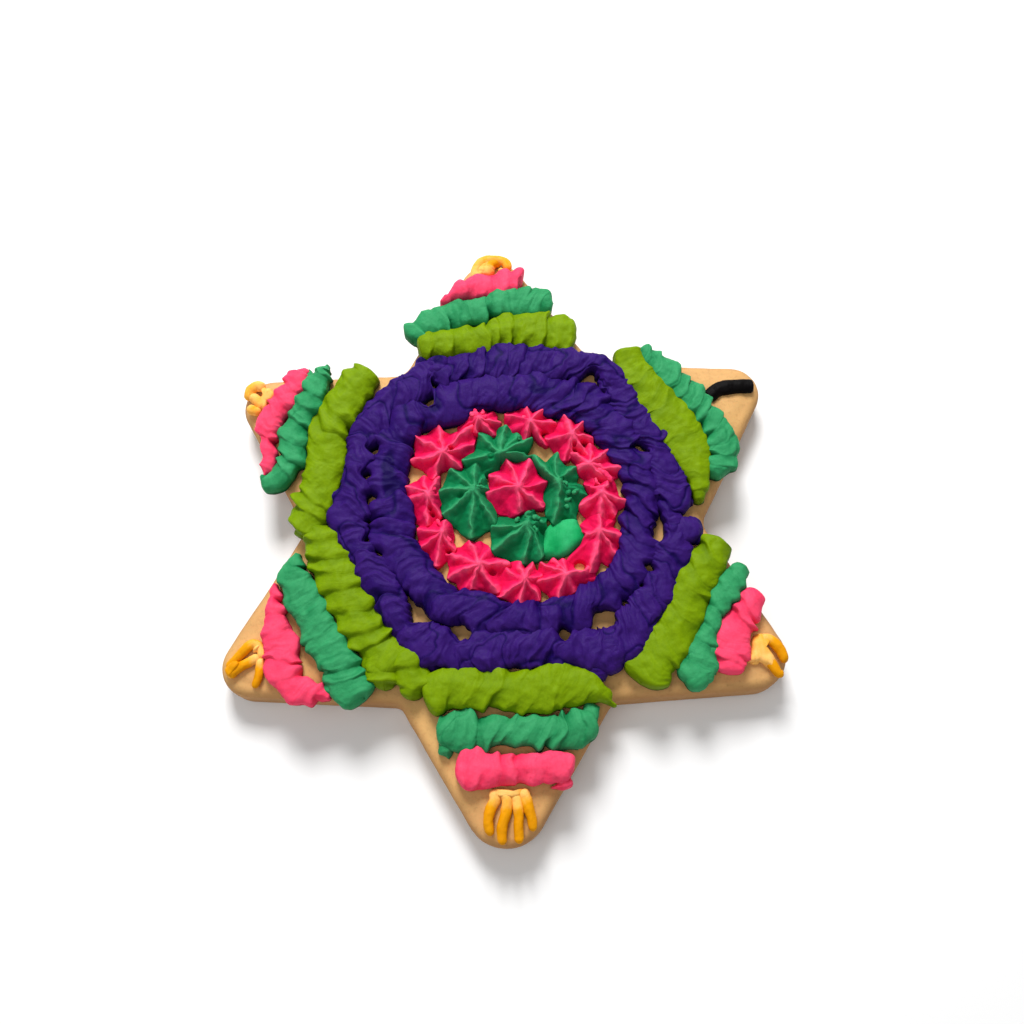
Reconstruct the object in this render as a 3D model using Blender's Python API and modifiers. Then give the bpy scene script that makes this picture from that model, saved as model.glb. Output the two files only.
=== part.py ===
"""Iced sugar cookie: a six-pointed star biscuit with piped buttercream on its face.

The star lies flat with +Z up and +Y towards its top point, and the origin is on the underside,
below its middle. Two wavy purple rings run round a wreath of rosettes. Each point carries ruffled
bands of lime, teal and pink, and ends in thin yellow strands. The icing was piped by hand, so each
band has its own route and widths. Tables and driving dimensions are in millimetres.
"""
import math

import bmesh
import bpy
import numpy as np
from mathutils import Vector

MM = 0.001

# The biscuit
COOKIE_THICKNESS = 6.5
TOP_ROUNDING = 2.0
BOTTOM_ROUNDING = 0.6
ARC_STEP = math.radians(20)

# Heights of the icing above its base
GAP = 0.3
ICING_BASE = COOKIE_THICKNESS + GAP
RING_HEIGHT = 3.8
BAND_HEIGHT = {"lime": 3.6, "teal": 3.2, "pink": 3.0}
LINE_HEIGHT = 1.3
LEAF_HEIGHT = 2.6
PINK_ROSETTE_HEIGHT = 4.0
GREEN_ROSETTE_HEIGHT = 4.3
CENTRE_ROSETTE_HEIGHT = 4.5

# Ruffles: a crease between two folds is narrower and lower than the folds
CREASE_WIDTH = 0.88
CREASE_HEIGHT = 0.8
END_TAPER = 0.6
RING_FOLDS = 30
SECTION = [(0.85, 0.0), (1.0, 0.4), (0.5, 1.0), (-0.5, 1.0), (-1.0, 0.4), (-0.85, 0.0)]
NARROWEST = 0.35
CURVE_STEPS = 12

# Rosettes: how far in each level stands, and how high, from the base to the peak
PETALS = 8
PETAL_LEVELS = [(0.92, 0.0), (1.0, 0.25), (0.62, 0.62), (0.2, 1.0)]
VALLEY = 0.78
PETAL_DISCS = [(0.62, 0.32), (0.78, 0.25), (0.92, 0.13)]
SWIRL = math.radians(5)

# Strands
STRAND_STEP = 1.4
STRAND_TIP = 0.75
STRAND_SIDES = 1
STRAND_LIFT = 0.06

COLOURS = {
    "biscuit": (0.72, 0.46, 0.23, 1.0),
    "purple": (0.055, 0.012, 0.19, 1.0),
    "lime": (0.30, 0.48, 0.005, 1.0),
    "teal": (0.03, 0.40, 0.18, 1.0),
    "green": (0.01, 0.26, 0.12, 1.0),
    "pink": (1.0, 0.075, 0.20, 1.0),
    "rose": (0.93, 0.025, 0.11, 1.0),
    "yellow": (0.95, 0.45, 0.02, 1.0),
    "black": (0.006, 0.004, 0.008, 1.0),
}
BISCUIT_ROUGHNESS = 0.75
ICING_ROUGHNESS = 0.45

# Sharp corners of the star, anticlockwise from its top point: x, y, radius of the rounding
STAR = [
    (-1.0, 57.0, 6.0),
    (-16.5, 29.0, 3.0),
    (-48.0, 28.5, 5.0),
    (-33.0, 0.5, 3.0),
    (-49.0, -26.5, 5.0),
    (-17.0, -29.0, 2.0),
    (-0.5, -57.0, 6.5),
    (17.0, -29.5, 2.0),
    (48.5, -28.0, 5.5),
    (33.5, -0.5, 3.0),
    (48.5, 27.5, 5.0),
    (17.0, 30.0, 3.0),
]

# Rings: x, y, half-width along the middle of the band, clockwise from the top
OUTER_RING = [
    (2, 29, 3.2), (10, 28.4, 3.0), (17.5, 26.6, 2.2), (21.6, 21.3, 2.2), (25.6, 14, 2.2),
    (28.4, 6, 2.4), (29.6, -2.6, 3.2), (26.2, -10.3, 2.4), (21.2, -18, 2.9), (15.3, -22.6, 3.3),
    (7, -21.6, 2.8), (-3.3, -21.8, 2.8), (-12, -20.3, 2.7), (-17.6, -14, 2.2), (-22.2, -5.3, 2.3),
    (-25, 2.5, 2.8), (-23.9, 11, 2.2), (-20.4, 19.8, 2.7), (-14, 25.6, 3.0), (-6, 28, 2.5),
]
INNER_RING = [
    (0, 22.9, 2.5), (7.5, 22.8, 2.7), (14.7, 20.3, 3.0), (19.4, 15, 2.9), (22.6, 7.5, 2.4),
    (22.6, -1.5, 2.5), (20.4, -8.8, 2.6), (15, -13.8, 2.6), (7, -16.2, 2.4), (0, -16.2, 2.4),
    (-6, -14.7, 2.8), (-11.9, -11.2, 2.7), (-16.2, -5, 2.9), (-18.4, 3, 3.0), (-18, 11, 3.0),
    (-14.5, 18.4, 2.4), (-8, 21.5, 2.8),
]

# Bands: folds, lean of the folds along the band, then x, y, half-width from end to end
BANDS = {
    "lime_top": (8, 0.15, [
        (-14, 33.4, 1.9), (-6, 34.2, 2.4), (-1.5, 34.8, 2.4), (4, 35.4, 2.7), (9.5, 34.9, 3.0),
        (14, 33.8, 2.8)]),
    "lime_upper_left": (8, 0.35, [
        (-22, 29.3, 2.2), (-24.6, 25.6, 3.0), (-27.3, 21.5, 3.2), (-28.9, 16.5, 3.2),
        (-29.5, 11, 3.2), (-30.6, 6, 3.1), (-31.7, 2, 2.7), (-32.3, -1.2, 1.5)]),
    "lime_upper_right": (6, -0.1, [
        (22.6, 31, 2.0), (23.4, 27.8, 2.3), (25.4, 24, 2.8), (28, 19.7, 3.2), (30.4, 15.2, 3.2),
        (32.2, 11, 2.7), (33.0, 7.4, 1.8), (33.5, 4.2, 0.8)]),
    "lime_lower_right": (7, 0.1, [
        (35.2, -4, 2.0), (33.3, -8, 2.8), (30.8, -12.3, 2.9), (29.2, -16.2, 2.9),
        (26.8, -20.3, 3.1), (23.5, -24, 3.1), (21.2, -27.2, 3.0)]),
    "lime_bottom": (7, 0.3, [
        (-12.2, -28.9, 2.7), (-8.5, -27.7, 2.9), (-4, -27.7, 2.9), (0, -27.9, 2.9),
        (4, -28.1, 2.9), (8.5, -27.9, 2.9), (12.5, -28.6, 2.4), (16.4, -30.4, 0.8)]),
    "lime_lower_left": (8, -0.3, [
        (-30.7, -2, 1.3), (-29.2, -4.8, 2.6), (-27, -8.4, 3.1), (-24.6, -12.8, 3.1),
        (-22.2, -17, 3.1), (-19.4, -21.2, 3.2), (-16.2, -24.9, 3.0)]),
    "teal_top": (8, 0.2, [
        (-15, 37.0, 1.2), (-12, 38.0, 2.2), (-8.5, 38.9, 2.5), (-4, 39.6, 2.4), (1, 40.9, 2.4),
        (5, 41.4, 2.6), (9.6, 41.2, 2.2)]),
    "teal_upper_left": (6, 0.3, [
        (-30.4, 29.6, 1.2), (-31.4, 26, 2.2), (-33.2, 21.8, 2.5), (-34.8, 17, 2.5),
        (-35.5, 13, 2.3), (-37.4, 8.9, 2.0), (-40.0, 8.3, 1.2)]),
    "teal_upper_right": (8, -0.2, [
        (25.0, 31.8, 0.8), (27.6, 29.2, 1.7), (30.4, 25.6, 2.2), (33.3, 21.4, 2.3),
        (35.4, 17.8, 2.1), (37.2, 14, 2.4), (37.7, 10.5, 2.4), (36.2, 7.3, 1.2)]),
    "teal_lower_right": (7, 0.2, [
        (39.2, -9.2, 1.5), (36.9, -12, 2.1), (34.7, -15.2, 1.9), (33.3, -18.5, 1.6),
        (31.7, -21.8, 2.0), (30.5, -25, 2.3), (29.9, -28.2, 2.0)]),
    "teal_bottom": (7, 0.25, [
        (-10.6, -33.6, 1.9), (-7.5, -34, 2.5), (-3.5, -34, 2.5), (0.5, -34.3, 2.4),
        (4.5, -34.5, 2.5), (8, -34.7, 2.5), (11, -34.4, 2.3), (13.4, -33.9, 1.5)]),
    "teal_lower_left": (8, 0.0, [
        (-33.6, -4.4, 0.7), (-33.9, -7.9, 2.0), (-32.9, -11, 2.6), (-31.2, -14.5, 2.6),
        (-29.5, -18, 2.6), (-27.8, -21.4, 2.6), (-25.4, -25, 2.7), (-23, -27.8, 2.4)]),
    "pink_top": (4, 0.0, [
        (-8.6, 43.2, 0.8), (-4.8, 44.7, 1.9), (-1, 45.4, 2.2), (2, 45.8, 2.2), (4.2, 46, 1.8)]),
    "pink_upper_left": (5, 0.2, [
        (-34.9, 29.0, 1.5), (-36.1, 26, 2.0), (-38, 22.6, 2.0), (-39.4, 19.3, 1.9),
        (-39.6, 15.5, 1.2), (-39.9, 11.8, 0.8)]),
    "pink_lower_right": (5, 0.2, [
        (41, -13.2, 1.6), (39.0, -16.5, 2.2), (37.0, -19.8, 2.4), (36.0, -23, 2.3),
        (35.3, -26.0, 1.8)]),
    "pink_bottom": (6, 0.0, [
        (-7.4, -39.6, 2.2), (-4.5, -39.6, 2.6), (0, -39.8, 2.4), (4.5, -39.8, 2.4),
        (7.5, -40.2, 2.4), (9.6, -40.6, 1.9)]),
    "pink_lower_left": (5, 0.1, [
        (-37.5, -11.5, 0.9), (-37, -16, 1.9), (-36, -20, 2.4), (-35.1, -23.5, 2.5),
        (-32.9, -26.4, 2.0), (-29.4, -28.6, 0.9)]),
}

# A thin black line, tucked in beside a teal band, and a loose green leaf in the wreath
BLACK_LINE = [(37.4, 22.2, 0.9), (38.6, 22.8, 1.0), (41, 23.1, 1.0), (44, 23.0, 1.0)]
LEAF = [(7.4, -5.2, 0.9), (9.0, -4.4, 2.0), (11, -3.4, 2.2), (13, -3.2, 1.3)]

# Rosettes: x, y, turn in degrees, petal lengths anticlockwise from +X
CENTRE_ROSETTE = (3.5, 5.5, 0, [4.4, 4.8, 4.9, 5.4, 5.4, 5.1, 4.4, 5.3])
GREEN_ROSETTES = [
    (-4.0, 5.5, 0, [1.6, 3.0, 4.3, 5.6, 6.1, 6.8, 8.2, 5.7]),
    (0.0, 11.5, 0, [5.4, 5.2, 5.7, 5.5, 5.6, 3.0, 0.9, 1.8]),
    (9.5, 6.5, 0, [4.3, 3.5, 4.8, 5.5, 1.3, 2.6, 6.7, 6.3]),
    (4.5, -0.5, 0, [2.7, 2.2, 1.2, 1.8, 6.2, 7.2, 7.2, 5.0]),
]
PINK_ROSETTES = [
    (-9.0, 12.0, 10, [5.0, 5.0, 5.5, 6.3, 5.8, 3.9, 4.1, 3.6]),
    (-3.5, 18.0, 0, [3.4, 3.1, 2.6, 2.8, 3.4, 3.0, 2.2, 3.5]),
    (5.5, 17.5, 10, [2.3, 3.4, 3.4, 4.2, 4.2, 3.4, 2.9, 2.2]),
    (12.5, 15.0, 15, [2.6, 3.1, 3.6, 4.1, 5.0, 2.7, 2.6, 2.8]),
    (15.0, 9.5, 0, [4.0, 4.2, 4.2, 3.5, 3.6, 1.8, 1.9, 3.1]),
    (17.0, 4.0, 40, [4.3, 2.5, 3.2, 2.6, 2.4, 1.7, 2.2, 2.5]),
    (16.0, -2.5, 0, [3.3, 4.0, 3.4, 4.4, 2.6, 2.4, 4.1, 4.7]),
    (10.5, -9.5, 0, [3.6, 4.5, 2.7, 3.1, 4.0, 4.1, 3.9, 3.2]),
    (3.5, -9.5, 0, [3.9, 2.8, 1.9, 3.1, 4.2, 5.2, 5.2, 4.2]),
    (-3.5, -7.0, 0, [3.1, 2.9, 3.5, 4.5, 4.9, 5.5, 4.1, 4.4]),
    (-9.5, -2.0, 0, [1.8, 2.1, 2.5, 3.4, 4.5, 4.9, 5.1, 3.1]),
    (-11.5, 4.5, 0, [1.4, 2.4, 4.0, 4.2, 4.4, 4.2, 4.1, 2.8]),
]

# Yellow strands: radius, then x, y from the root to the tip
STRANDS = {
    "yellow_top": [
        (0.95, [(-2.9, 47.9), (-3.0, 49.2), (-1.6, 50.2), (0.4, 50.3), (2.0, 49.6), (2.4, 48.9)]),
        (0.75, [(-1.5, 50.0), (-1.2, 49.0), (0.0, 48.7), (0.6, 50.1)]),
    ],
    "yellow_upper_left": [
        (0.9, [(-40.9, 24.9), (-41.9, 26.6), (-43.2, 26.0), (-43.3, 24.6)]),
        (0.85, [(-40.7, 23.0), (-42.0, 23.6), (-43.5, 24.4)]),
        (0.8, [(-40.9, 22.6), (-42.2, 21.6), (-43.4, 22.8)]),
        (1.0, [(-40.8, 25.2), (-40.6, 22.4)]),
    ],
    "yellow_lower_right": [
        (1.0, [(40.0, -20.6), (40.1, -24.0)]),
        (0.85, [(39.9, -21.0), (42.0, -21.5), (43.6, -22.9)]),
        (0.85, [(39.9, -23.6), (41.8, -24.3), (42.8, -26.4)]),
    ],
    "yellow_bottom": [
        (0.75, [(-2.6, -43.4), (0.2, -43.7), (3.0, -43.7)]),
        (0.8, [(-2.2, -43.6), (-3.0, -46.0), (-2.8, -48.8)]),
        (0.8, [(-0.5, -43.6), (-0.3, -46.5), (-1.0, -50.0)]),
        (0.75, [(1.2, -43.6), (1.6, -47.0), (1.6, -50.1)]),
        (0.7, [(2.7, -43.5), (3.4, -46.0), (3.9, -48.8)]),
    ],
    "yellow_lower_left": [
        (0.85, [(-39.6, -19.4), (-41.8, -20.4), (-43.9, -22.3)]),
        (0.8, [(-39.6, -20.4), (-41.6, -22.6), (-43.6, -24.4)]),
        (0.8, [(-39.5, -20.0), (-38.9, -23.0), (-39.6, -26.0)]),
    ],
}


def clear_scene():
    """Removes whatever the opened file holds."""
    for leftover in list(bpy.data.objects):
        bpy.data.objects.remove(leftover, do_unlink=True)


def new_collection(name):
    collection = bpy.data.collections.new(name)
    bpy.context.scene.collection.children.link(collection)
    return collection


def new_material(name, colour, roughness):
    material = bpy.data.materials.new(name)
    material.use_nodes = True
    shader = material.node_tree.nodes["Principled BSDF"]
    shader.inputs["Base Color"].default_value = colour
    shader.inputs["Roughness"].default_value = roughness
    shader.inputs["Metallic"].default_value = 0.0
    return material


def place(name, mesh, collection, material):
    """Links a mesh as an object at the origin, where its vertices already have their places."""
    mesh.materials.clear()
    mesh.materials.append(material)
    solid = bpy.data.objects.new(name, mesh)
    collection.objects.link(solid)
    return solid


def mesh_from(name, shape):
    """Turns a bmesh into a mesh with its faces pointing out."""
    bmesh.ops.recalc_face_normals(shape, faces=shape.faces)
    mesh = bpy.data.meshes.new(name)
    shape.to_mesh(mesh)
    shape.free()
    return mesh


def solid_from_curve(name, curve):
    """Evaluates a curve with caps, and welds the caps to its sides."""
    holder = bpy.data.objects.new(name + " route", curve)
    bpy.context.scene.collection.objects.link(holder)
    evaluated = holder.evaluated_get(bpy.context.evaluated_depsgraph_get())
    mesh = bpy.data.meshes.new_from_object(evaluated)
    bpy.data.objects.remove(holder)
    shape = bmesh.new()
    shape.from_mesh(mesh)
    bpy.data.meshes.remove(mesh)
    bmesh.ops.remove_doubles(shape, verts=shape.verts, dist=0.001 * MM)
    return shape


def rounded_outline(corners):
    """The outline through sharp corners, with each corner turned into an arc.

    An arc of radius r leaves both sides at r / tan(half the angle) from the corner, and its centre
    lies on the line that halves the angle, r / sin(half the angle) away.
    """
    outline = []
    for i, (x, y, radius) in enumerate(corners):
        corner = Vector((x, y))
        before = (Vector(corners[i - 1][:2]) - corner).normalized()
        after = (Vector(corners[(i + 1) % len(corners)][:2]) - corner).normalized()
        half = before.angle(after) / 2
        centre = corner + (before + after).normalized() * radius / math.sin(half)
        start = (corner + before * radius / math.tan(half) - centre) / radius
        end = (corner + after * radius / math.tan(half) - centre) / radius
        steps = round(start.angle(end) / ARC_STEP)
        for step in range(steps + 1):
            outline.append(centre + start.slerp(end, step / steps) * radius)
    return outline


def make_cookie(collection, material):
    """The star as a filled flat curve with a thickness, its upper edge well rounded in baking."""
    outline = rounded_outline(STAR)
    curve = bpy.data.curves.new("cookie", "CURVE")
    curve.dimensions = "2D"
    curve.fill_mode = "BOTH"
    curve.extrude = COOKIE_THICKNESS / 2 * MM
    spline = curve.splines.new("POLY")
    spline.points.add(len(outline) - 1)
    spline.use_cyclic_u = True
    for point, corner in zip(spline.points, outline):
        point.co = (corner.x * MM, corner.y * MM, 0.0, 1.0)
    shape = solid_from_curve("cookie", curve)
    bmesh.ops.translate(shape, verts=shape.verts, vec=(0, 0, COOKIE_THICKNESS / 2 * MM))
    bmesh.ops.dissolve_limit(shape, angle_limit=math.radians(1), verts=shape.verts, edges=shape.edges)
    cookie = place("cookie", mesh_from("cookie", shape), collection, material)
    for name, height, width, segments in (
        ("upper edge", COOKIE_THICKNESS * MM, TOP_ROUNDING, 3),
        ("lower edge", 0.0, BOTTOM_ROUNDING, 1),
    ):
        group = cookie.vertex_groups.new(name=name)
        group.add([v.index for v in cookie.data.vertices if abs(v.co.z - height) < MM], 1.0, "REPLACE")
        bevel = cookie.modifiers.new(name, "BEVEL")
        bevel.limit_method = "VGROUP"
        bevel.vertex_group = name
        bevel.width = width * MM
        bevel.segments = segments
    return cookie


def smooth_path(stations, count, closed=False):
    """A Catmull-Rom curve through the stations, read at evenly spaced places.

    Every column of the stations is carried along, so x, y and half-width change together.
    """
    knots = np.array(stations, dtype=float)
    if closed:
        knots = np.vstack([knots[-1], knots, knots[:2]])
    else:
        knots = np.vstack([2 * knots[0] - knots[1], knots, 2 * knots[-1] - knots[-2]])
    t = np.linspace(0, 1, CURVE_STEPS, endpoint=False)[:, None]
    spans = []
    for a, b, c, d in zip(knots, knots[1:], knots[2:], knots[3:]):
        curve = 2 * b + (c - a) * t + (2 * a - 5 * b + 4 * c - d) * t**2 + (3 * (b - c) + d - a) * t**3
        spans.append(curve / 2)
    fine = np.vstack(spans + [knots[-2:-1]])
    steps = np.linalg.norm(np.diff(fine[:, :2], axis=0), axis=1)
    run = np.concatenate([[0.0], np.cumsum(steps)])
    wanted = np.linspace(0, run[-1], count, endpoint=not closed)
    return np.column_stack([np.interp(wanted, run, column) for column in fine.T])


def directions(path, closed):
    """Unit vectors along the path at each of its points."""
    if closed:
        ahead = np.roll(path, -1, axis=0) - np.roll(path, 1, axis=0)
    else:
        ahead = np.gradient(path, axis=0)
    return ahead / np.linalg.norm(ahead, axis=1)[:, None]


def free_reach(point, direction, reach, placed):
    """How far icing can spread from a point before it comes within GAP of what is there already.

    The placed icing is a list of discs (x, y, radius). A ray meets a disc of radius r, whose centre
    is a ahead and b aside, at a - sqrt(r² - b²).
    """
    for x, y, radius in placed:
        offset = np.array([x, y]) - point
        ahead = offset @ direction
        aside = offset @ offset - ahead**2
        keep_out = (radius + GAP) ** 2
        if ahead > 0 and aside < keep_out:
            reach = min(reach, ahead - math.sqrt(keep_out - aside))
    return max(reach, NARROWEST)


def loft(name, sections, closed):
    """Joins successive sections, all with the same number of corners, into one closed skin."""
    shape = bmesh.new()
    rings = [[shape.verts.new(np.array(corner) * MM) for corner in section] for section in sections]
    following = rings[1:] + rings[:1] if closed else rings[1:]
    for ring, ahead in zip(rings, following):
        for k in range(len(ring)):
            shape.faces.new((ring[k - 1], ring[k], ahead[k], ahead[k - 1]))
    if not closed:
        shape.faces.new(rings[0])
        shape.faces.new(rings[-1])
    return mesh_from(name, shape)


def make_ruffle(name, stations, height, folds, lean, placed, closed=False):
    """A piped ruffle: rounded sections that alternate between the crest of a fold and a crease.

    Each side spreads to its half-width or to the icing beside it. Lean slants the folds, as the
    parts of a section slide along the band in proportion to how far they stand aside.
    """
    count = 2 * folds if closed else 2 * folds + 1
    path = smooth_path(stations, count, closed)
    tangents = directions(path[:, :2], closed)
    sections = []
    discs = []
    for i, ((x, y, half_width), ahead) in enumerate(zip(path, tangents)):
        point = np.array([x, y])
        aside = np.array([-ahead[1], ahead[0]])
        left = free_reach(point, aside, half_width, placed)
        right = free_reach(point, -aside, half_width, placed)
        crest = i % 2 == 1
        taper = END_TAPER if not closed and i in (0, count - 1) else 1.0
        width = taper * (1.0 if crest else CREASE_WIDTH)
        top = taper * height * (1.0 if crest else CREASE_HEIGHT)
        section = []
        for across, up in SECTION:
            spread = across * (left if across > 0 else right) * width
            place_on_top = point + aside * spread + ahead * spread * lean
            section.append((*place_on_top, ICING_BASE + up * top))
        sections.append(section)
        discs.append((*(point + aside * (left - right) / 2), (left + right) / 2))
    placed.extend(discs)
    return loft(name, sections, closed)


def make_rosette(name, rosette, height, placed):
    """A star-tipped rosette: a cone whose sides are drawn out into petals with valleys between.

    Even corners of the cone are petal tips and odd ones valleys. Each level stands a share of the
    petal's length out, and turns a little further than the one below.
    """
    x, y, turn, petals = rosette
    centre = np.array([x, y])
    corners = 2 * PETALS
    turns = math.radians(turn) + 2 * math.pi * np.arange(corners) / corners
    rays = np.column_stack([np.cos(turns), np.sin(turns)])
    tips = [free_reach(centre, ray, length, placed) for ray, length in zip(rays[::2], petals)]
    reaches = []
    for k, tip in enumerate(tips):
        valley = VALLEY * (tip + tips[(k + 1) % PETALS]) / 2
        reaches += [tip, free_reach(centre, rays[2 * k + 1], valley, placed)]
        for share, width in PETAL_DISCS:
            placed.append((*(centre + rays[2 * k] * tip * share), tip * width))
    placed.append((x, y, min(reaches)))

    shape = bmesh.new()
    bmesh.ops.create_cone(shape, cap_ends=True, segments=corners, radius1=1, radius2=0.5, depth=1)
    upright = [edge for edge in shape.edges if abs(edge.verts[0].co.z - edge.verts[1].co.z) > 0.5]
    bmesh.ops.subdivide_edges(shape, edges=upright, cuts=len(PETAL_LEVELS) - 2)
    for corner in shape.verts:
        level = round((corner.co.z + 0.5) * (len(PETAL_LEVELS) - 1))
        k = round(math.atan2(corner.co.y, corner.co.x) / (2 * math.pi) * corners) % corners
        share, up = PETAL_LEVELS[level]
        angle = turns[k] + SWIRL * level
        reach = reaches[k] * share
        corner.co.x = (x + reach * math.cos(angle)) * MM
        corner.co.y = (y + reach * math.sin(angle)) * MM
        corner.co.z = (ICING_BASE + up * height) * MM
    return mesh_from(name, shape)


def make_strand(name, radius, route, lift):
    """A thin strand: a round tube along a smooth route, a little thinner at its tip."""
    length = sum(math.dist(a, b) for a, b in zip(route, route[1:]))
    path = smooth_path(route, max(3, round(length / STRAND_STEP) + 1))
    curve = bpy.data.curves.new(name, "CURVE")
    curve.dimensions = "3D"
    curve.bevel_depth = radius * MM
    curve.bevel_resolution = STRAND_SIDES
    curve.use_fill_caps = True
    spline = curve.splines.new("POLY")
    spline.points.add(len(path) - 1)
    for point, (x, y) in zip(spline.points, path):
        point.co = (x * MM, y * MM, (ICING_BASE + radius + lift) * MM, 1.0)
    spline.points[-1].radius = STRAND_TIP
    return mesh_from(name, solid_from_curve(name, curve))


def make_strands(name, strands, collection, cutters, material, placed):
    """A group of strands from one root, each lying a little higher than the last, joined into one."""
    meshes = [
        make_strand(f"{name} {k}", radius, route, k * STRAND_LIFT)
        for k, (radius, route) in enumerate(strands)
    ]
    solid = place(name, meshes[0], collection, material)
    for mesh in meshes[1:]:
        other = place(mesh.name, mesh, cutters, material)
        other.hide_render = True
        other.display_type = "WIRE"
        union = solid.modifiers.new("join " + mesh.name, "BOOLEAN")
        union.operation = "UNION"
        union.solver = "EXACT"
        union.object = other
    for radius, route in strands:
        placed.extend((x, y, radius) for x, y in smooth_path(route, 4 * len(route)))
    return solid


def build_cookie():
    clear_scene()
    collection = new_collection("iced_sugar_cookie")
    cutters = new_collection("joined strands")
    biscuit = new_material("biscuit", COLOURS["biscuit"], BISCUIT_ROUGHNESS)
    icing = {
        name: new_material(name + " icing", colour, ICING_ROUGHNESS)
        for name, colour in COLOURS.items() if name != "biscuit"
    }
    placed = []

    def add_ruffle(name, colour, stations, height, folds, lean=0.0, closed=False):
        mesh = make_ruffle(name, stations, height, folds, lean, placed, closed)
        place(name, mesh, collection, icing[colour])

    def add_rosette(name, colour, rosette, height):
        place(name, make_rosette(name, rosette, height, placed), collection, icing[colour])

    make_cookie(collection, biscuit)
    add_ruffle("purple_outer", "purple", OUTER_RING, RING_HEIGHT, RING_FOLDS, closed=True)
    add_ruffle("purple_inner", "purple", INNER_RING, RING_HEIGHT, RING_FOLDS, closed=True)
    for name, strands in STRANDS.items():
        make_strands(name, strands, collection, cutters, icing["yellow"], placed)
    for name, (folds, lean, stations) in BANDS.items():
        colour = name.split("_")[0]
        add_ruffle(name, colour, stations, BAND_HEIGHT[colour], folds, lean)
    add_ruffle("black_line", "black", BLACK_LINE, LINE_HEIGHT, folds=2)
    add_rosette("centre_rosette", "rose", CENTRE_ROSETTE, CENTRE_ROSETTE_HEIGHT)
    for number, rosette in enumerate(GREEN_ROSETTES, start=1):
        add_rosette(f"green_rosette_{number}", "green", rosette, GREEN_ROSETTE_HEIGHT)
    add_ruffle("green_leaf", "green", LEAF, LEAF_HEIGHT, folds=3)
    for number, rosette in enumerate(PINK_ROSETTES, start=1):
        add_rosette(f"pink_rosette_{number:02d}", "rose", rosette, PINK_ROSETTE_HEIGHT)


build_cookie()
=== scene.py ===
"""Looks of an iced sugar cookie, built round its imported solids.

Every piece of icing is a fine surface worked out with numpy on a grid, and stands for the plain
solid of the same name. Tables are in millimetres from the middle of the star, and each piece is
set on the biscuit and given the height of the solid it replaces.
"""
import itertools
import math

import bpy
import numpy as np
from mathutils import Matrix, Vector


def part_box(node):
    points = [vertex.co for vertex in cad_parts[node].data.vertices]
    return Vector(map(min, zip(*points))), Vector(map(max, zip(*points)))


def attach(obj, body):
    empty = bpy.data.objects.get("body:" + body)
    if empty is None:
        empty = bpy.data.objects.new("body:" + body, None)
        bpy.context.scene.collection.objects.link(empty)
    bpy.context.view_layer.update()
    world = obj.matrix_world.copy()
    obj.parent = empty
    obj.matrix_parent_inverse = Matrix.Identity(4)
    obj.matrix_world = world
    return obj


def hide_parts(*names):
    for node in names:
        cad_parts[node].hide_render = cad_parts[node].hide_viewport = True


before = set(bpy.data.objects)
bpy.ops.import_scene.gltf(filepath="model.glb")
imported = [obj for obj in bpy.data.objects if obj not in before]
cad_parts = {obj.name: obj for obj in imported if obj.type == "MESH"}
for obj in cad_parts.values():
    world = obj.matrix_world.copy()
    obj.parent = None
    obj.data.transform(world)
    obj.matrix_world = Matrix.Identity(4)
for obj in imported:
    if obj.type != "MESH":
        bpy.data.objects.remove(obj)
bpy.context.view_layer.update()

MM = 0.001
BODY = "root"

# ---------------------------------------------------------------------------------------------
# The biscuit
# ---------------------------------------------------------------------------------------------
# Sharp corners of the star, anticlockwise from its top point: x, y, radius of the rounding
STAR = [
    (-1.0, 57.0, 6.0), (-16.5, 29.0, 3.0), (-48.0, 28.5, 5.0), (-33.0, 0.5, 3.0),
    (-49.0, -26.5, 5.0), (-17.0, -29.0, 2.0), (-0.5, -57.0, 6.5), (17.0, -29.5, 2.0),
    (48.5, -28.0, 5.5), (33.5, -0.5, 3.0), (48.5, 27.5, 5.0), (17.0, 30.0, 3.0),
]
OUTLINE_POINTS = 1100
RIM_ROUNDING = 2.0
FOOT_ROUNDING = 0.5
SHOULDER = 2.2           # width of the gentle slope just inside the rounded rim
SHOULDER_DROP = 0.35
SINK = 0.35              # how far icing is bedded in the biscuit

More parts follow.
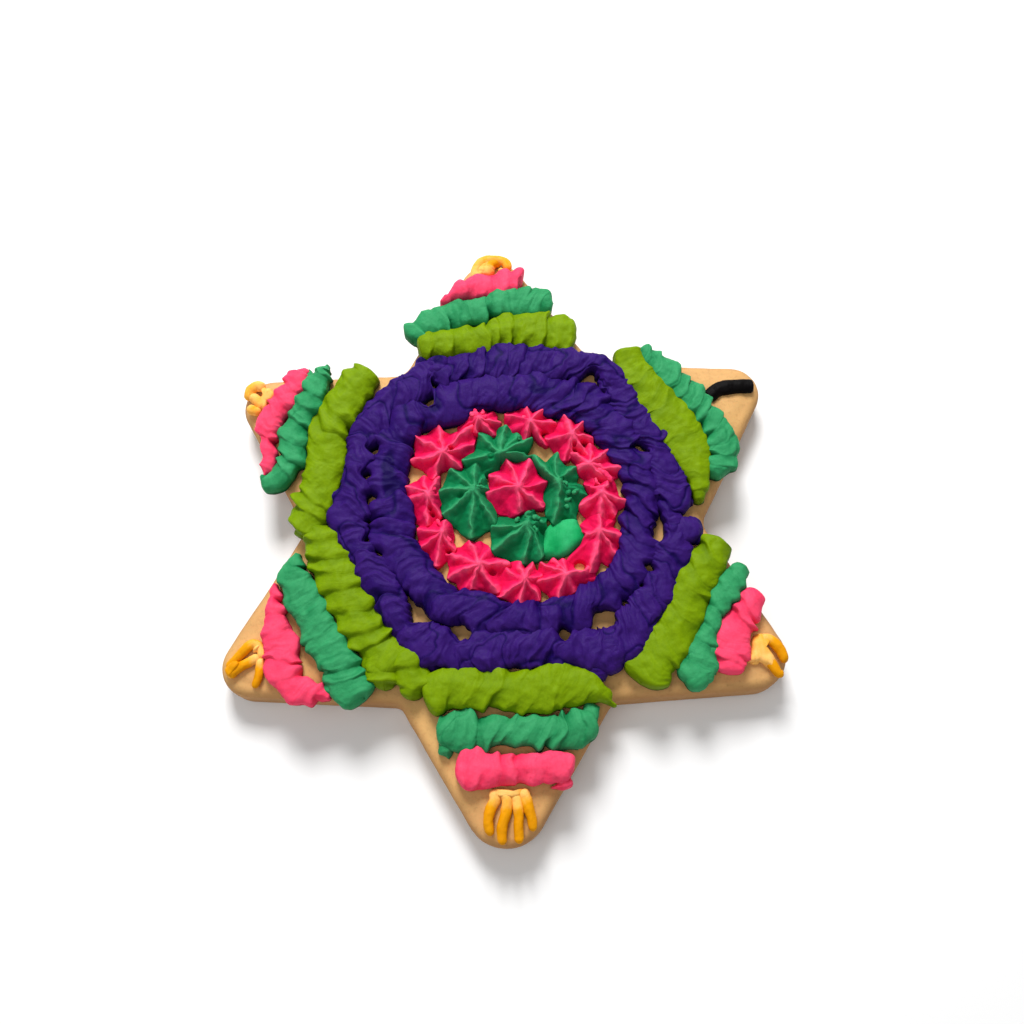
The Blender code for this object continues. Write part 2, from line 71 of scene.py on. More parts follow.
# ---------------------------------------------------------------------------------------------
# The icing
# ---------------------------------------------------------------------------------------------
# How each kind was piped. fold: length of a fold; bow: how far folds arch; crown and flank: depth
# of the creases on top and at the edges; groove: depth of the thin line at the bottom of a crease;
# painted_line_shade: how dark the shade painted along that line and along the chance creases is,
# and how strongly shade is painted over the whole crease; merge: 1 for creases of every depth,
# more when most are faint; sharp: below 1 for sharp creases between round folds, above 1 for soft
# waves; steep: 1 for even folds, more for folds that rise gently and drop suddenly; hang: how far a
# crest hangs over; jitter: unevenness of the fold lengths; wander: waviness of the creases;
# wrinkle: height of the small folds between the creases; streak: depth of the fine lines along the
# folds; lump: height of the soft lumps; seam: depth of the chance creases; calm: depth of the
# creases in calm stretches, as a share of the usual; frill: unevenness of the edges; square:
# flatness of the top; spill: how far the foot spreads past the half-width given
PIPING = {
    "purple": dict(fold=4.2, bow=0.30, crown=1.70, flank=0.75, groove=0.20, painted_line_shade=0.80, merge=0.9,
                   sharp=0.75, steep=2.0, hang=0.60, jitter=0.50, wander=1.3, wrinkle=0.18,
                   streak=0.10, lump=0.36, seam=0.15, calm=0.4, frill=0.26, square=6.0,
                   spill=0.28),
    "lime": dict(fold=3.2, bow=0.15, crown=1.50, flank=1.00, groove=0.03, painted_line_shade=0.15, merge=0.8,
                 sharp=1.40, steep=1.5, hang=0.50, jitter=0.45, wander=1.0, wrinkle=0.05,
                 streak=0.03, lump=0.34, seam=0.0, calm=0.75, frill=0.28, square=5.0,
                 spill=0.34),
    "teal": dict(fold=2.9, bow=0.10, crown=1.20, flank=1.10, groove=0.10, painted_line_shade=0.40, merge=0.9,
                 sharp=1.05, steep=1.7, hang=0.50, jitter=0.45, wander=0.9, wrinkle=0.10,
                 streak=0.05, lump=0.28, seam=0.08, calm=0.85, frill=0.36, square=5.0,
                 spill=0.14),
    "pink": dict(fold=2.8, bow=0.05, crown=1.30, flank=1.00, groove=0.04, painted_line_shade=0.20, merge=0.9,
                 sharp=1.25, steep=1.5, hang=0.35, jitter=0.50, wander=1.0, wrinkle=0.08,
                 streak=0.05, lump=0.30, seam=0.0, calm=0.8, frill=0.28, square=5.0,
                 spill=0.26),
    "black": dict(fold=2.2, bow=0.0, crown=0.08, flank=0.08, groove=0.0, painted_line_shade=0.0, merge=1.0,
                  sharp=1.0, steep=1.0, hang=0.0, jitter=0.5, wander=0.3, wrinkle=0.04, streak=0.0,
                  lump=0.08, seam=0.0, calm=1.0, frill=0.08, square=3.0, spill=0.15),
}
ROW_STEP = 0.15          # distance between the rows of a band
COLUMNS = 88             # points round its section
END_ROUNDING = 0.42      # length of the rounded end of a band, as a share of its half-width
FLAP_ROUNDING = 0.95
FLAP_COLUMNS = 64
FLAP_STEP = 0.2
SCALED_BY_DEPTH = ("crown", "flank", "groove", "seam", "frill")

# Rings: x, y, half-width along the middle of the band, clockwise from the top
OUTER_RING = [
    (2, 29, 3.3), (9.5, 28.6, 3.0), (13, 28.4, 2.5), (15.8, 28.3, 1.8), (18.2, 27.0, 2.1),
    (19.6, 24.6, 2.5), (21.5, 21.6, 2.5), (23.8, 17.6, 2.2), (26, 13.7, 2.4), (27.7, 9, 2.5),
    (28.6, 4.6, 2.7), (28.7, 2.9, 2.6), (27.8, 0.4, 1.6), (27.7, -1.8, 1.6), (28.0, -5, 2.7),
    (27.5, -8, 2.7), (25.8, -11.3, 2.5), (23.6, -15, 2.6), (21.2, -18, 2.9), (16.6, -22, 3.1),
    (12, -21.9, 2.8), (7, -21.6, 2.8), (2, -21.6, 2.7), (-3.3, -21.8, 2.9), (-8, -21.3, 2.8),
    (-12.2, -20.2, 2.8), (-15.6, -17.4, 2.2), (-17.8, -14, 2.3), (-19.8, -10, 2.3),
    (-21.7, -6.8, 2.3), (-23.2, -3.8, 2.3), (-24.6, -1.6, 2.5), (-25.3, 1, 3.0), (-24.9, 5, 2.6),
    (-24.3, 8.6, 2.0), (-23.9, 12, 2.0), (-23, 15.2, 2.4), (-21.5, 18.5, 2.6), (-18.2, 22.3, 3.0),
    (-14.4, 25.0, 2.9), (-11.6, 27.2, 2.8), (-7.5, 27.8, 2.5), (-2.7, 28.6, 2.9),
]
INNER_RING = [
    (0, 22.9, 2.8), (5, 23.2, 3.0), (10, 21.8, 3.5), (14.3, 20.8, 3.5), (18.0, 17.6, 3.2),
    (20.2, 13.3, 2.9), (22.4, 9, 2.6), (23.2, 4, 2.6), (22.7, -0.5, 2.7), (22.2, -5, 2.7),
    (20, -9.5, 2.8), (16.3, -12.9, 2.8), (12, -15.3, 2.8), (7, -16.2, 2.7), (2, -16.5, 2.5),
    (-3.2, -15.4, 3.0), (-8, -14, 2.8), (-11.9, -11.2, 2.7), (-14.6, -7.6, 3.0),
    (-17, -3.5, 3.0), (-17.7, 1.2, 3.4), (-18.5, 5.8, 3.0), (-18.2, 10.5, 3.1),
    (-17.2, 14.8, 3.0), (-15.2, 18.3, 2.7), (-12.2, 19.7, 2.6), (-8.7, 20.9, 3.3),
    (-4.5, 22.6, 2.8),
]
RING_SPREAD = 0.31       # how far each ring spreads towards the other, past the half-width given
RING_LEAN = 0.35
RING_COLUMNS = 76
RING_STEP = 0.17
GAP_FLARE = 1.6          # length of the notch a gap makes, as a share of its width
# Gaps that were left between the rings, where biscuit shows: x, y, radius
RING_GAPS = [
    (-11.7, 22.2, 0.55), (-11.7, 21.5, 0.55), (-12.2, 20.4, 0.25), (-11.0, 25.2, 0.45),
    (-20.4, 14.1, 0.3), (-21.3, 13.2, 0.6), (-22.2, 8.9, 0.4), (-22.1, 8.3, 0.5),
    (-21.5, 4.9, 0.55), (-21.8, 4.0, 0.4), (-21.7, 0.5, 0.45), (-22.0, -2.8, 0.4),
    (-20.4, -4.7, 0.3), (-19.7, -5.5, 0.25), (-15.2, -12.0, 0.35), (-14.6, -13.2, 0.45),
    (-13.9, -14.5, 0.65), (-13.4, -15.5, 0.9), (-9.6, -16.9, 0.3), (-7.6, -17.6, 0.6),
    (-6.6, -18.3, 0.9), (-5.5, -18.8, 0.55), (9.6, -19.0, 0.75), (10.1, -19.7, 0.45),
    (15.6, -16.9, 1.05), (16.8, -16.5, 1.0), (19.5, -14.3, 0.4), (22.3, -11.6, 0.35),
    (23.8, -8.6, 0.6), (26.0, 0.5, 0.35), (26.1, -0.9, 0.5), (26.2, -2.3, 0.95),
    (25.7, -3.6, 0.7), (23.5, 12.6, 0.4), (24.3, 11.9, 0.45), (24.9, 11.4, 0.3),
    (16.0, 26.0, 0.75), (15.4, 25.5, 0.35), (16.8, 25.2, 0.4), (17.3, 24.0, 0.35),
    (18.2, 22.7, 0.3), (12.2, 25.3, 0.35),
]
# Loose ends laid over the rings and bands: height as a share of the band's, lean, and the route
FLAPS = {
    "purple_outer": [
        (0.90, 0.2, [(27.2, -4.6, 1.3), (29.3, -3.2, 1.8), (31.6, -2.6, 2.0), (33.0, -2.6, 1.7)]),
        (1.00, 0.1, [(16.6, -18.7, 1.9), (17.0, -20.3, 2.9), (17.1, -22.0, 2.4), (17.3, -24.0, 1.5),
                     (17.5, -25.4, 0.8)]),
        (0.88, 0.3, [(11.5, -21.8, 2.2), (13.4, -23.8, 1.9), (15.7, -26.4, 0.9)]),
        (0.92, 0.0, [(-12.9, 25.2, 1.0), (-13.1, 28.0, 1.05), (-13.15, 30.8, 1.05)]),
        (0.98, 0.0, [(-10.2, 25.9, 1.5), (-10.1, 28.3, 1.8), (-9.9, 30.6, 1.7)]),
        (0.85, 0.2, [(-25.4, 0.6, 1.8), (-27.2, 1.0, 1.4), (-28.6, 1.3, 0.8)]),
        (0.90, 0.2, [(-11.5, -21.0, 2.0), (-11.2, -23.0, 1.5), (-11.1, -24.4, 0.9)]),
        (0.90, 0.2, [(29.0, 3.6, 2.0), (30.6, 2.9, 1.4), (31.8, 2.1, 0.7)]),
        (0.90, 0.1, [(14.6, 27.5, 1.6), (14.9, 29.2, 1.3), (15.0, 30.4, 0.8)]),
    ],
    "teal_upper_left": [
        (0.85, 0.1, [(-31.2, 27.0, 1.5), (-30.3, 29.1, 1.2), (-29.8, 30.7, 0.4)]),
        (0.80, 0.1, [(-33.0, 26.4, 1.0), (-33.2, 28.4, 0.9), (-32.9, 29.8, 0.6)]),
    ],
    "pink_upper_left": [
        (0.85, 0.1, [(-34.6, 27.3, 1.2), (-34.0, 28.8, 1.1), (-33.9, 30.0, 0.8)]),
    ],
    "pink_bottom": [
        (0.80, 0.0, [(8.6, -39.0, 1.3), (8.9, -40.8, 1.3), (8.5, -42.3, 1.0), (6.7, -42.5, 0.5)]),
    ],
    "teal_bottom": [
        (0.80, 0.2, [(11.6, -33.2, 1.8), (13.4, -31.6, 1.4), (14.6, -30.6, 0.7)]),
        (0.70, 0.1, [(-9.6, -34.8, 1.6), (-9.2, -36.6, 1.2), (-8.9, -37.8, 0.6)]),
        (0.70, 0.1, [(10.4, -35.6, 1.5), (10.9, -37.0, 0.9)]),
    ],
    "teal_lower_right": [
        (0.98, 0.1, [(31.0, -21.3, 1.5), (30.0, -23.0, 1.9), (29.7, -25.3, 2.4), (30.3, -28.7, 2.1)]),
        (0.86, 0.1, [(32.0, -20.3, 1.2), (32.3, -22.5, 1.4), (32.7, -24.6, 1.1), (33.2, -26.1, 0.6)]),
    ],
    "teal_lower_left": [
        (0.88, 0.1, [(-27.4, -22.5, 1.5), (-27.3, -24.8, 1.4), (-27.1, -27.6, 1.2)]),
    ],
    "lime_lower_left": [
        (0.95, 0.1, [(-20.2, -20.8, 2.0), (-19.4, -22.8, 2.1), (-18.8, -25.0, 2.1), (-18.8, -27.0, 1.8)]),
        (1.00, 0.1, [(-16.8, -21.0, 2.2), (-15.0, -23.5, 2.5), (-14.3, -26.0, 2.4), (-14.4, -28.7, 1.9)]),
    ],
}

# Bands: lean of the folds, depth of the folds as a share of the usual, then x, y, half-width from
# end to end
BANDS = {
    "lime_top": (0.15, 1.1, [
        (-14, 32.9, 2.2), (-10, 33.3, 2.8), (-6, 33.7, 3.0), (-1.5, 34.6, 2.7), (4, 35.6, 3.1),
        (9.5, 34.7, 3.5), (14, 33.8, 3.0)]),
    "lime_upper_left": (0.35, 1.1, [
        (-22.1, 28.9, 2.5), (-24.6, 25.6, 3.2), (-27.3, 21.5, 3.4), (-28.9, 16.5, 3.4),
        (-29.5, 11, 3.4), (-30.6, 6, 3.4), (-31.7, 2, 2.9), (-32.3, -1.6, 1.6)]),
    "lime_upper_right": (-0.1, 0.35, [
        (22.6, 31, 2.2), (23.2, 27.8, 2.4), (25, 24, 3.0), (27.7, 19.7, 3.6), (30.3, 15.2, 3.6),
        (32.2, 11, 3.0), (32.8, 7, 1.9), (33, 2.3, 1.0)]),
    "lime_lower_right": (0.15, 0.8, [
        (35.7, -4.2, 2.3), (33.4, -8, 3.0), (30.8, -12.3, 3.1), (29.2, -16.2, 3.1),
        (26.8, -20.3, 3.4), (23.5, -24, 3.4), (21.2, -27.2, 3.6)]),
    "lime_bottom": (0.3, 1.0, [
        (-12.8, -28.7, 2.9), (-8.5, -27.2, 3.2), (-4, -27.3, 3.2), (0, -27.6, 3.1),
        (4, -28, 3.2), (8.5, -27.4, 3.2), (12.5, -27.8, 2.7), (14.7, -28.8, 1.6), (17.2, -30.6, 0.4)]),
    "lime_lower_left": (0.2, 1.1, [
        (-30.9, 0.3, 1.6), (-29.2, -3.5, 3.0), (-27, -8, 3.4), (-24.6, -12.6, 3.4),
        (-22.2, -17, 3.4), (-19.3, -21.2, 3.6), (-16.4, -23.8, 3.3)]),
    "teal_top": (0.2, 1.0, [
        (-14.7, 34.1, 2.5), (-13.2, 36.3, 2.8), (-9.5, 38.4, 2.9), (-4, 39.5, 2.6), (1, 40.8, 2.5),
        (5, 41.3, 3.1), (10.2, 41, 2.4)]),
    "teal_upper_left": (0.3, 1.0, [
        (-30.4, 29.6, 1.3), (-31.3, 26, 2.4), (-33, 21.8, 2.7), (-34.8, 17, 2.7),
        (-35.2, 13, 2.6), (-37.4, 9.2, 2.2), (-40.2, 8.3, 1.4)]),
    "teal_upper_right": (-0.2, 0.85, [
        (24.8, 30.8, 1.7), (27.2, 28.7, 2.2), (30.2, 25.3, 2.5), (33.2, 21.2, 2.4),
        (35.2, 17.8, 2.1), (37.2, 14, 2.7), (37.6, 10.5, 2.7), (35.2, 6.9, 1.4)]),
    "teal_lower_right": (0.25, 1.0, [
        (39.3, -8.8, 1.6), (36.6, -11.6, 2.3), (34.3, -15, 2.0), (33, -18.3, 1.6),
        (31.8, -20.9, 2.0), (30.9, -23.4, 2.6), (30.5, -25.6, 2.6), (30.3, -27.6, 1.8)]),
    "teal_bottom": (0.25, 1.0, [
        (-10.8, -33.2, 2.0), (-7.5, -33.6, 3.0), (-3.5, -33.6, 2.7), (0.5, -34.2, 2.5),
        (4.5, -34.3, 2.5), (8, -34.7, 2.6), (11, -33.9, 3.0), (14, -32.9, 1.8)]),
    "teal_lower_left": (0.15, 1.0, [
        (-33.6, -4, 0.6), (-33.9, -7.7, 2.2), (-32.6, -10.8, 2.9), (-30.7, -14.3, 3.0),
        (-29.0, -17.7, 3.1), (-27.3, -21.0, 3.1), (-25.3, -24.6, 3.1), (-21.9, -28.4, 3.2)]),
    "pink_top": (0.1, 0.75, [
        (-10, 42, 0.6), (-7, 43.4, 1.3), (-4.5, 44.3, 2.2), (-1, 44.9, 2.6), (2, 45.6, 2.5),
        (4.0, 45.9, 2.2), (4.9, 45.7, 1.6)]),
    "pink_upper_left": (0.2, 1.0, [
        (-34.6, 29.1, 1.8), (-35.3, 26.1, 1.9), (-37.4, 22.7, 2.1), (-39.4, 19.3, 2.1),
        (-39.4, 15.5, 1.3), (-39.2, 12, 1.2), (-39.9, 9.6, 0.6)]),
    "pink_lower_right": (0.2, 1.0, [
        (40.9, -13.0, 1.8), (38.2, -16.8, 2.3), (36.7, -19.8, 2.6), (35.7, -23, 2.8),
        (35.2, -26.2, 2.0)]),
    "pink_bottom": (0.0, 0.8, [
        (-7.9, -39.3, 1.9), (-6.2, -39.4, 2.9), (-4.5, -39.6, 3.0), (-2, -39.8, 2.5), (0, -39.8, 2.5),
        (2.5, -39.5, 2.3), (5, -39.5, 2.3), (7.5, -39.5, 2.2), (9.4, -39.7, 1.9), (10.2, -39.9, 1.4)]),
    "pink_lower_left": (0.1, 1.0, [
        (-37.0, -9.0, 0.5), (-37.1, -12.5, 1.4), (-36.5, -16, 1.9), (-35.4, -20, 2.6),
        (-35.0, -23.5, 2.6), (-33.0, -25.9, 2.2), (-30.3, -27.2, 1.7), (-27.4, -28.0, 0.8)]),
    "black_line": (0.0, 1.0, [
        (36.2, 21.7, 1.15), (38.3, 23.3, 1.25), (41, 23.7, 1.25), (44.4, 23.7, 1.15)]),
}

PAD_TONE = 0.35          # how deep the green of a pad is
# Flat pads: height, then their outlines anticlockwise
PADS = {
    "green_leaf": (1.9, [
        (5.6, -6.2), (7.4, -6.6), (9.4, -6.4), (11.2, -5.7), (12.2, -4.9), (13.4, -4.0),
        (13.9, -2.9), (13.6, -1.7), (13.0, -0.6), (12.5, 0.4), (11.2, 0.5), (9.8, 0.2),
        (8.2, -0.4), (7.2, -1.6), (6.8, -3.4)]),
}

PEAK_SHIFT = -0.7        # peaks stand above the outlines, so they lie nearer the front, in y
# Rosettes: the peak, then places on the outline, anticlockwise: x, y, and the strength of the ridge
# that runs there from the peak, or 0 where there is none
ROSETTES = {
    "centre_rosette": ((3.2, 5.8), [
        (8.0, 6.7, 0.7), (6.3, 8.4, 0), (5.2, 10.8, 0.9), (3.2, 10.3, 0), (1.0, 10.8, 1), (0, 9.1, 0),
        (-1.8, 8.2, 0.9), (-1.6, 6.5, 0), (-2.3, 4.8, 0.9), (-1.2, 2.6, 0), (1.4, 1.0, 0.3),
        (3.2, 1.1, 1), (4.2, 1.8, 0), (5.2, 2.2, 0), (7.3, 1.9, 1), (7.1, 4.0, 0), (7.2, 5.3, 0)]),
    "green_rosette_1": ((-4.3, 5.6), [
        (-1.8, 5.7, 0.7), (-2.0, 6.9, 0), (-2.6, 7.8, 0.6), (-2.9, 9.2, 0), (-3.8, 10.9, 0.9),
        (-5.2, 10.6, 0), (-6.4, 9.5, 0), (-8.3, 9.3, 1), (-9.1, 7.7, 0), (-9.4, 6.6, 0), (-10, 5.6, 1),
        (-9.8, 4.0, 0), (-9.6, 2.5, 0), (-9.4, 0.9, 1), (-8.4, 0.3, 0), (-7.2, -0.8, 0),
        (-5.9, -2.1, 0.3), (-5.0, -3.2, 1), (-3.9, -2.4, 0), (-2.6, -1.4, 0), (-0.7, -0.6, 1),
        (-0.6, 1.2, 0), (-1.2, 2.8, 0), (-2.0, 4.2, 0)]),
    "green_rosette_2": ((0.3, 12.0), [
        (6.6, 11.3, 0.8), (4.4, 11.9, 0), (5.9, 14.4, 1), (4.4, 14.6, 0), (3.6, 15.4, 0.7),
        (2.4, 16.2, 0), (1.4, 17.2, 1), (0.1, 17.0, 0), (-0.8, 15.7, 0), (-3.2, 15.9, 1),
        (-3.6, 14.2, 0), (-4.0, 12.7, 0), (-6.4, 10.9, 1), (-5.0, 9.9, 0), (-2.8, 8.4, 0.2),
        (-0.2, 8.7, 0), (0.4, 10.0, 0), (2.0, 10.7, 0), (4.8, 10.8, 0)]),
    "green_rosette_3": ((9.8, 6.4), [
        (12.6, 6.4, 0), (13.1, 7.5, 0), (12.9, 8.9, 1), (11.9, 9.6, 0), (10.8, 9.4, 0),
        (9.8, 11.7, 1), (8.7, 11.1, 0), (7.8, 10.2, 0), (7.0, 10.9, 0), (5.5, 11.6, 1), (5.9, 9.5, 0),
        (7.3, 7.7, 0), (7.9, 6.6, 0), (7.5, 5.0, 0), (7.4, 3.2, 0), (7.6, 0.9, 0.5), (8.8, -1.1, 1),
        (10.0, -0.4, 0), (12.4, 0.0, 0.3), (12.7, 1.8, 0), (13.4, 3.0, 0), (14.6, 4.2, 0.5),
        (13.7, 5.8, 0.4)]),
    "green_rosette_4": ((4.4, -0.6), [
        (7.4, -0.6, 0.6), (7.6, 0.7, 0), (6.2, 0.9, 0), (5.4, 1.9, 0.6), (4.6, 1.7, 0.4), (3.0, 0.9, 0),
        (1.0, 0.9, 0), (-0.4, 1.1, 0), (-1.6, -1.2, 1), (-1.4, -3.0, 0), (-1.6, -4.9, 1),
        (-0.6, -5.7, 0), (0.6, -6.2, 0), (2.2, -6.8, 0), (3.5, -7.7, 1), (4.8, -7.0, 0),
        (6.6, -6.8, 0.9), (7.2, -4.6, 0), (7.4, -2.6, 0)]),
    "pink_rosette_01": ((-9.4, 12.5), [
        (-4.1, 14.0, 0.8), (-3.9, 15.3, 0), (-4.2, 17.6, 1), (-7.2, 16.4, 0.5), (-9.2, 16.1, 0),
        (-10.1, 17.6, 0.9), (-12.6, 16.1, 0), (-14.3, 15.9, 1), (-14.1, 13.3, 0), (-14.9, 11.0, 1),
        (-12.7, 10.1, 0), (-12.1, 8.9, 0.4), (-11.0, 7.4, 1), (-9.8, 9.5, 0), (-8.5, 10.0, 0),
        (-6.3, 9.5, 1), (-6.3, 11.0, 0), (-4.5, 12.5, 0)]),
    "pink_rosette_02": ((-3.2, 18.6), [
        (-0.2, 19.3, 0), (-0.8, 20.0, 0.5), (-2.0, 20.1, 0), (-2.6, 20.3, 0.6), (-3.9, 20.4, 0.6),
        (-4.6, 19.9, 0), (-6.4, 19.4, 0.6), (-6.9, 18.2, 0), (-6.8, 16.8, 0.5), (-5.0, 16.8, 0),
        (-4.3, 17.2, 0), (-3.6, 15.5, 1), (-3.0, 16.6, 0), (-0.5, 15.3, 0.9), (-0.2, 16.8, 0),
        (0.5, 17.7, 0.9), (-0.3, 18.3, 0)]),
    "pink_rosette_03": ((5.5, 17.6), [
        (7.7, 18.7, 0), (8.1, 20.2, 1), (6.0, 20.2, 0), (4.7, 21.3, 1), (3.2, 20.7, 0),
        (1.1, 19.4, 0.8), (1.1, 18.2, 0), (2.0, 16.4, 0.5), (3.4, 15.3, 0), (4.5, 14.0, 1),
        (5.6, 15.8, 0), (6.3, 14.4, 0), (7.8, 13.1, 1), (8.9, 13.9, 0), (9.8, 15.4, 0),
        (10.0, 17.1, 0.9)]),
    "pink_rosette_04": ((12.4, 15.0), [
        (15.9, 14.1, 0.9), (14.3, 15.7, 0), (14.8, 17.7, 1), (13.0, 17.6, 0), (11.5, 18.7, 1),
        (10.3, 17.7, 0.5), (9.0, 16.9, 0), (7.9, 14.2, 0.9), (9.2, 12.9, 0), (9.9, 11.8, 0),
        (10.9, 10.1, 0.8), (12.3, 11.2, 0.8), (13.4, 10.7, 0), (15.3, 9.9, 1), (16.0, 12.6, 0)]),
    "pink_rosette_05": ((14.9, 9.5), [
        (20.5, 8.6, 0.9), (19.1, 10.3, 0), (18.9, 12.4, 1), (16.6, 12.4, 0), (15.5, 13.3, 0.9),
        (13.8, 12.2, 0), (11.7, 11.7, 0.9), (12.9, 9.7, 0), (13.1, 8.7, 0.9), (13.9, 7.4, 0),
        (15.0, 6.6, 0.4), (18.2, 6.6, 1), (19.6, 7.2, 0)]),
    "pink_rosette_06": ((16.8, 4.5), [
        (19.5, 4.2, 0.3), (19.4, 5.8, 0), (18.9, 7.0, 0.7), (17.2, 8.1, 0), (15.2, 7.9, 0.5),
        (14.1, 6.2, 0.6), (14.6, 4.9, 0), (15.0, 4.3, 0), (13.1, 2.0, 0.9), (13.7, 0.8, 0),
        (16.5, -0.4, 0.9), (18.9, 0.1, 1), (19.3, 1.5, 0), (20.9, 2.3, 1)]),
    "pink_rosette_07": ((16.0, -2.1), [
        (18.3, -1.6, 0), (19.0, -0.2, 0.3), (17.9, 0.6, 0), (16.5, 1.6, 0.8), (14.4, 0.3, 0),
        (13.2, -1.0, 0.4), (13.9, -2.9, 0.9), (13.1, -4.3, 0), (11.5, -5.8, 0), (10.2, -7.0, 0.3),
        (12.0, -9.0, 0), (14.5, -9.4, 1), (15.5, -9.1, 0), (16.2, -6.9, 0), (17.6, -8.0, 0),
        (18.9, -6.8, 0.9), (18.8, -5.1, 0), (20.4, -3.4, 1)]),
    "pink_rosette_08": ((10.3, -9.4), [
        (14.6, -8.4, 1), (12.9, -7.6, 0), (11.6, -7.5, 0), (9.9, -6.7, 0.9), (9.2, -7.2, 0),
        (8.6, -6.5, 0.9), (7.6, -7.4, 0), (6.2, -7.4, 1), (5.9, -9.2, 0), (5.5, -10.6, 0.9),
        (7.0, -12.1, 0), (9.1, -13.8, 1), (10.4, -12.9, 0), (11.4, -12.6, 0.8), (12.6, -11.5, 0),
        (15.2, -10.2, 0.3)]),
    "pink_rosette_09": ((3.7, -9.6), [
        (6.6, -9.6, 0.8), (5.6, -8.4, 0), (5.1, -7.2, 1), (3.8, -8.0, 0), (3.0, -7.0, 0.9),
        (1.6, -6.9, 0), (-0.2, -8.0, 0.7), (-1.6, -9.6, 0), (-0.6, -13.0, 1), (1.0, -13.1, 0),
        (2.6, -15.0, 1), (4.2, -13.6, 0), (6.1, -13.7, 0.9), (5.9, -11.6, 0)]),
    "pink_rosette_10": ((-3.6, -7.0), [
        (1.4, -7.1, 1), (-0.9, -6.1, 0), (-1.7, -4.6, 0.7), (-3.0, -3.2, 0), (-4.2, -3.4, 0),
        (-5.1, -3.2, 1), (-6.6, -4.0, 0), (-9.1, -5.3, 0.8), (-8.4, -7.4, 0), (-8.8, -9.5, 1),
        (-7.4, -10.0, 0), (-6.2, -11.8, 0.6), (-4.8, -11.4, 1), (-3.4, -11.4, 0), (-0.5, -12.2, 1),
        (1.0, -9.6, 0)]),
    "pink_rosette_11": ((-9.4, -1.4), [
        (-8.0, -1.6, 0), (-8.9, 0.5, 0.9), (-9.9, 0.3, 0.0), (-11.2, 0.9, 0.3), (-13.8, -0.8, 0.8),
        (-13.5, -2.6, 0), (-13.9, -4.7, 0.8), (-11.8, -5.1, 0), (-10.4, -7.6, 1), (-9.2, -6.3, 0),
        (-7.4, -4.8, 0.9), (-7.9, -2.9, 0)]),
    "pink_rosette_12": ((-11.7, 5.1), [
        (-10.0, 5.2, 0.6), (-10.2, 6.3, 0), (-10.0, 8.1, 0.9), (-11.6, 8.1, 0), (-12.8, 8.5, 0.8),
        (-14.0, 7.8, 0), (-15.6, 6.6, 1), (-15.8, 5.6, 0), (-15.9, 4.4, 0.8), (-15.3, 3.0, 0),
        (-13.9, 0.5, 0), (-13.1, -0.6, 0.4), (-12.1, -0.6, 0.9), (-10.6, 0.4, 0), (-9.5, 1.2, 1),
        (-10.2, 3.0, 0)]),
}
# Hollows pressed into the rosettes, which are also painted with shade: x, y, radius, depth
PITS = {
    "pink_rosette_01": [(-8.0, 12.9, 0.45, 1.5)],
    "pink_rosette_03": [(7.9, 15.2, 0.55, 5)],
    "pink_rosette_04": [(14.5, 13.0, 0.55, 5), (12.8, 12.1, 0.4, 1.4), (12.8, 12.9, 0.35, 1.2)],
    "pink_rosette_06": [(16.1, 5.3, 0.4, 0.7), (16.7, 6.8, 0.8, 0.8)],
    "pink_rosette_07": [(12.7, -8.1, 0.8, 5)],
    "pink_rosette_08": [(12.7, -8.1, 0.8, 5)],
    "pink_rosette_10": [(-1.5, -8.6, 0.6, 1.5), (-8.5, -4.9, 0.45, 1.4)],
    "pink_rosette_11": [(-8.5, -4.9, 0.45, 1.4)],
    "pink_rosette_12": [(-11.2, 1.6, 0.4, 1.2), (-11.5, 2.4, 0.4, 0.7)],
    "green_rosette_1": [(-6.4, 4.3, 0.6, 0.5)],
    "green_rosette_2": [(-1.3, 11.2, 0.6, 0.8), (4.9, 11.7, 0.5, 0.8)],
    "green_rosette_3": [(10.5, 6.6, 0.35, 0.6), (10.6, 0.0, 0.5, 0.6)],
    "green_rosette_4": [(7.0, -1.8, 0.6, 0.7)],
}
CRUMB_LIFT = 1.0         # how much higher the crumbs rest than the heights below say
CRUMB_SHIFT = -0.3       # and how much nearer the front, in y
CRUMB_BEDDING = 1.15     # how far a crumb's foot lies below its height, as a share of its radius
CRUMB_TINT = 0.4
CRUMB_GRIT = 0.16
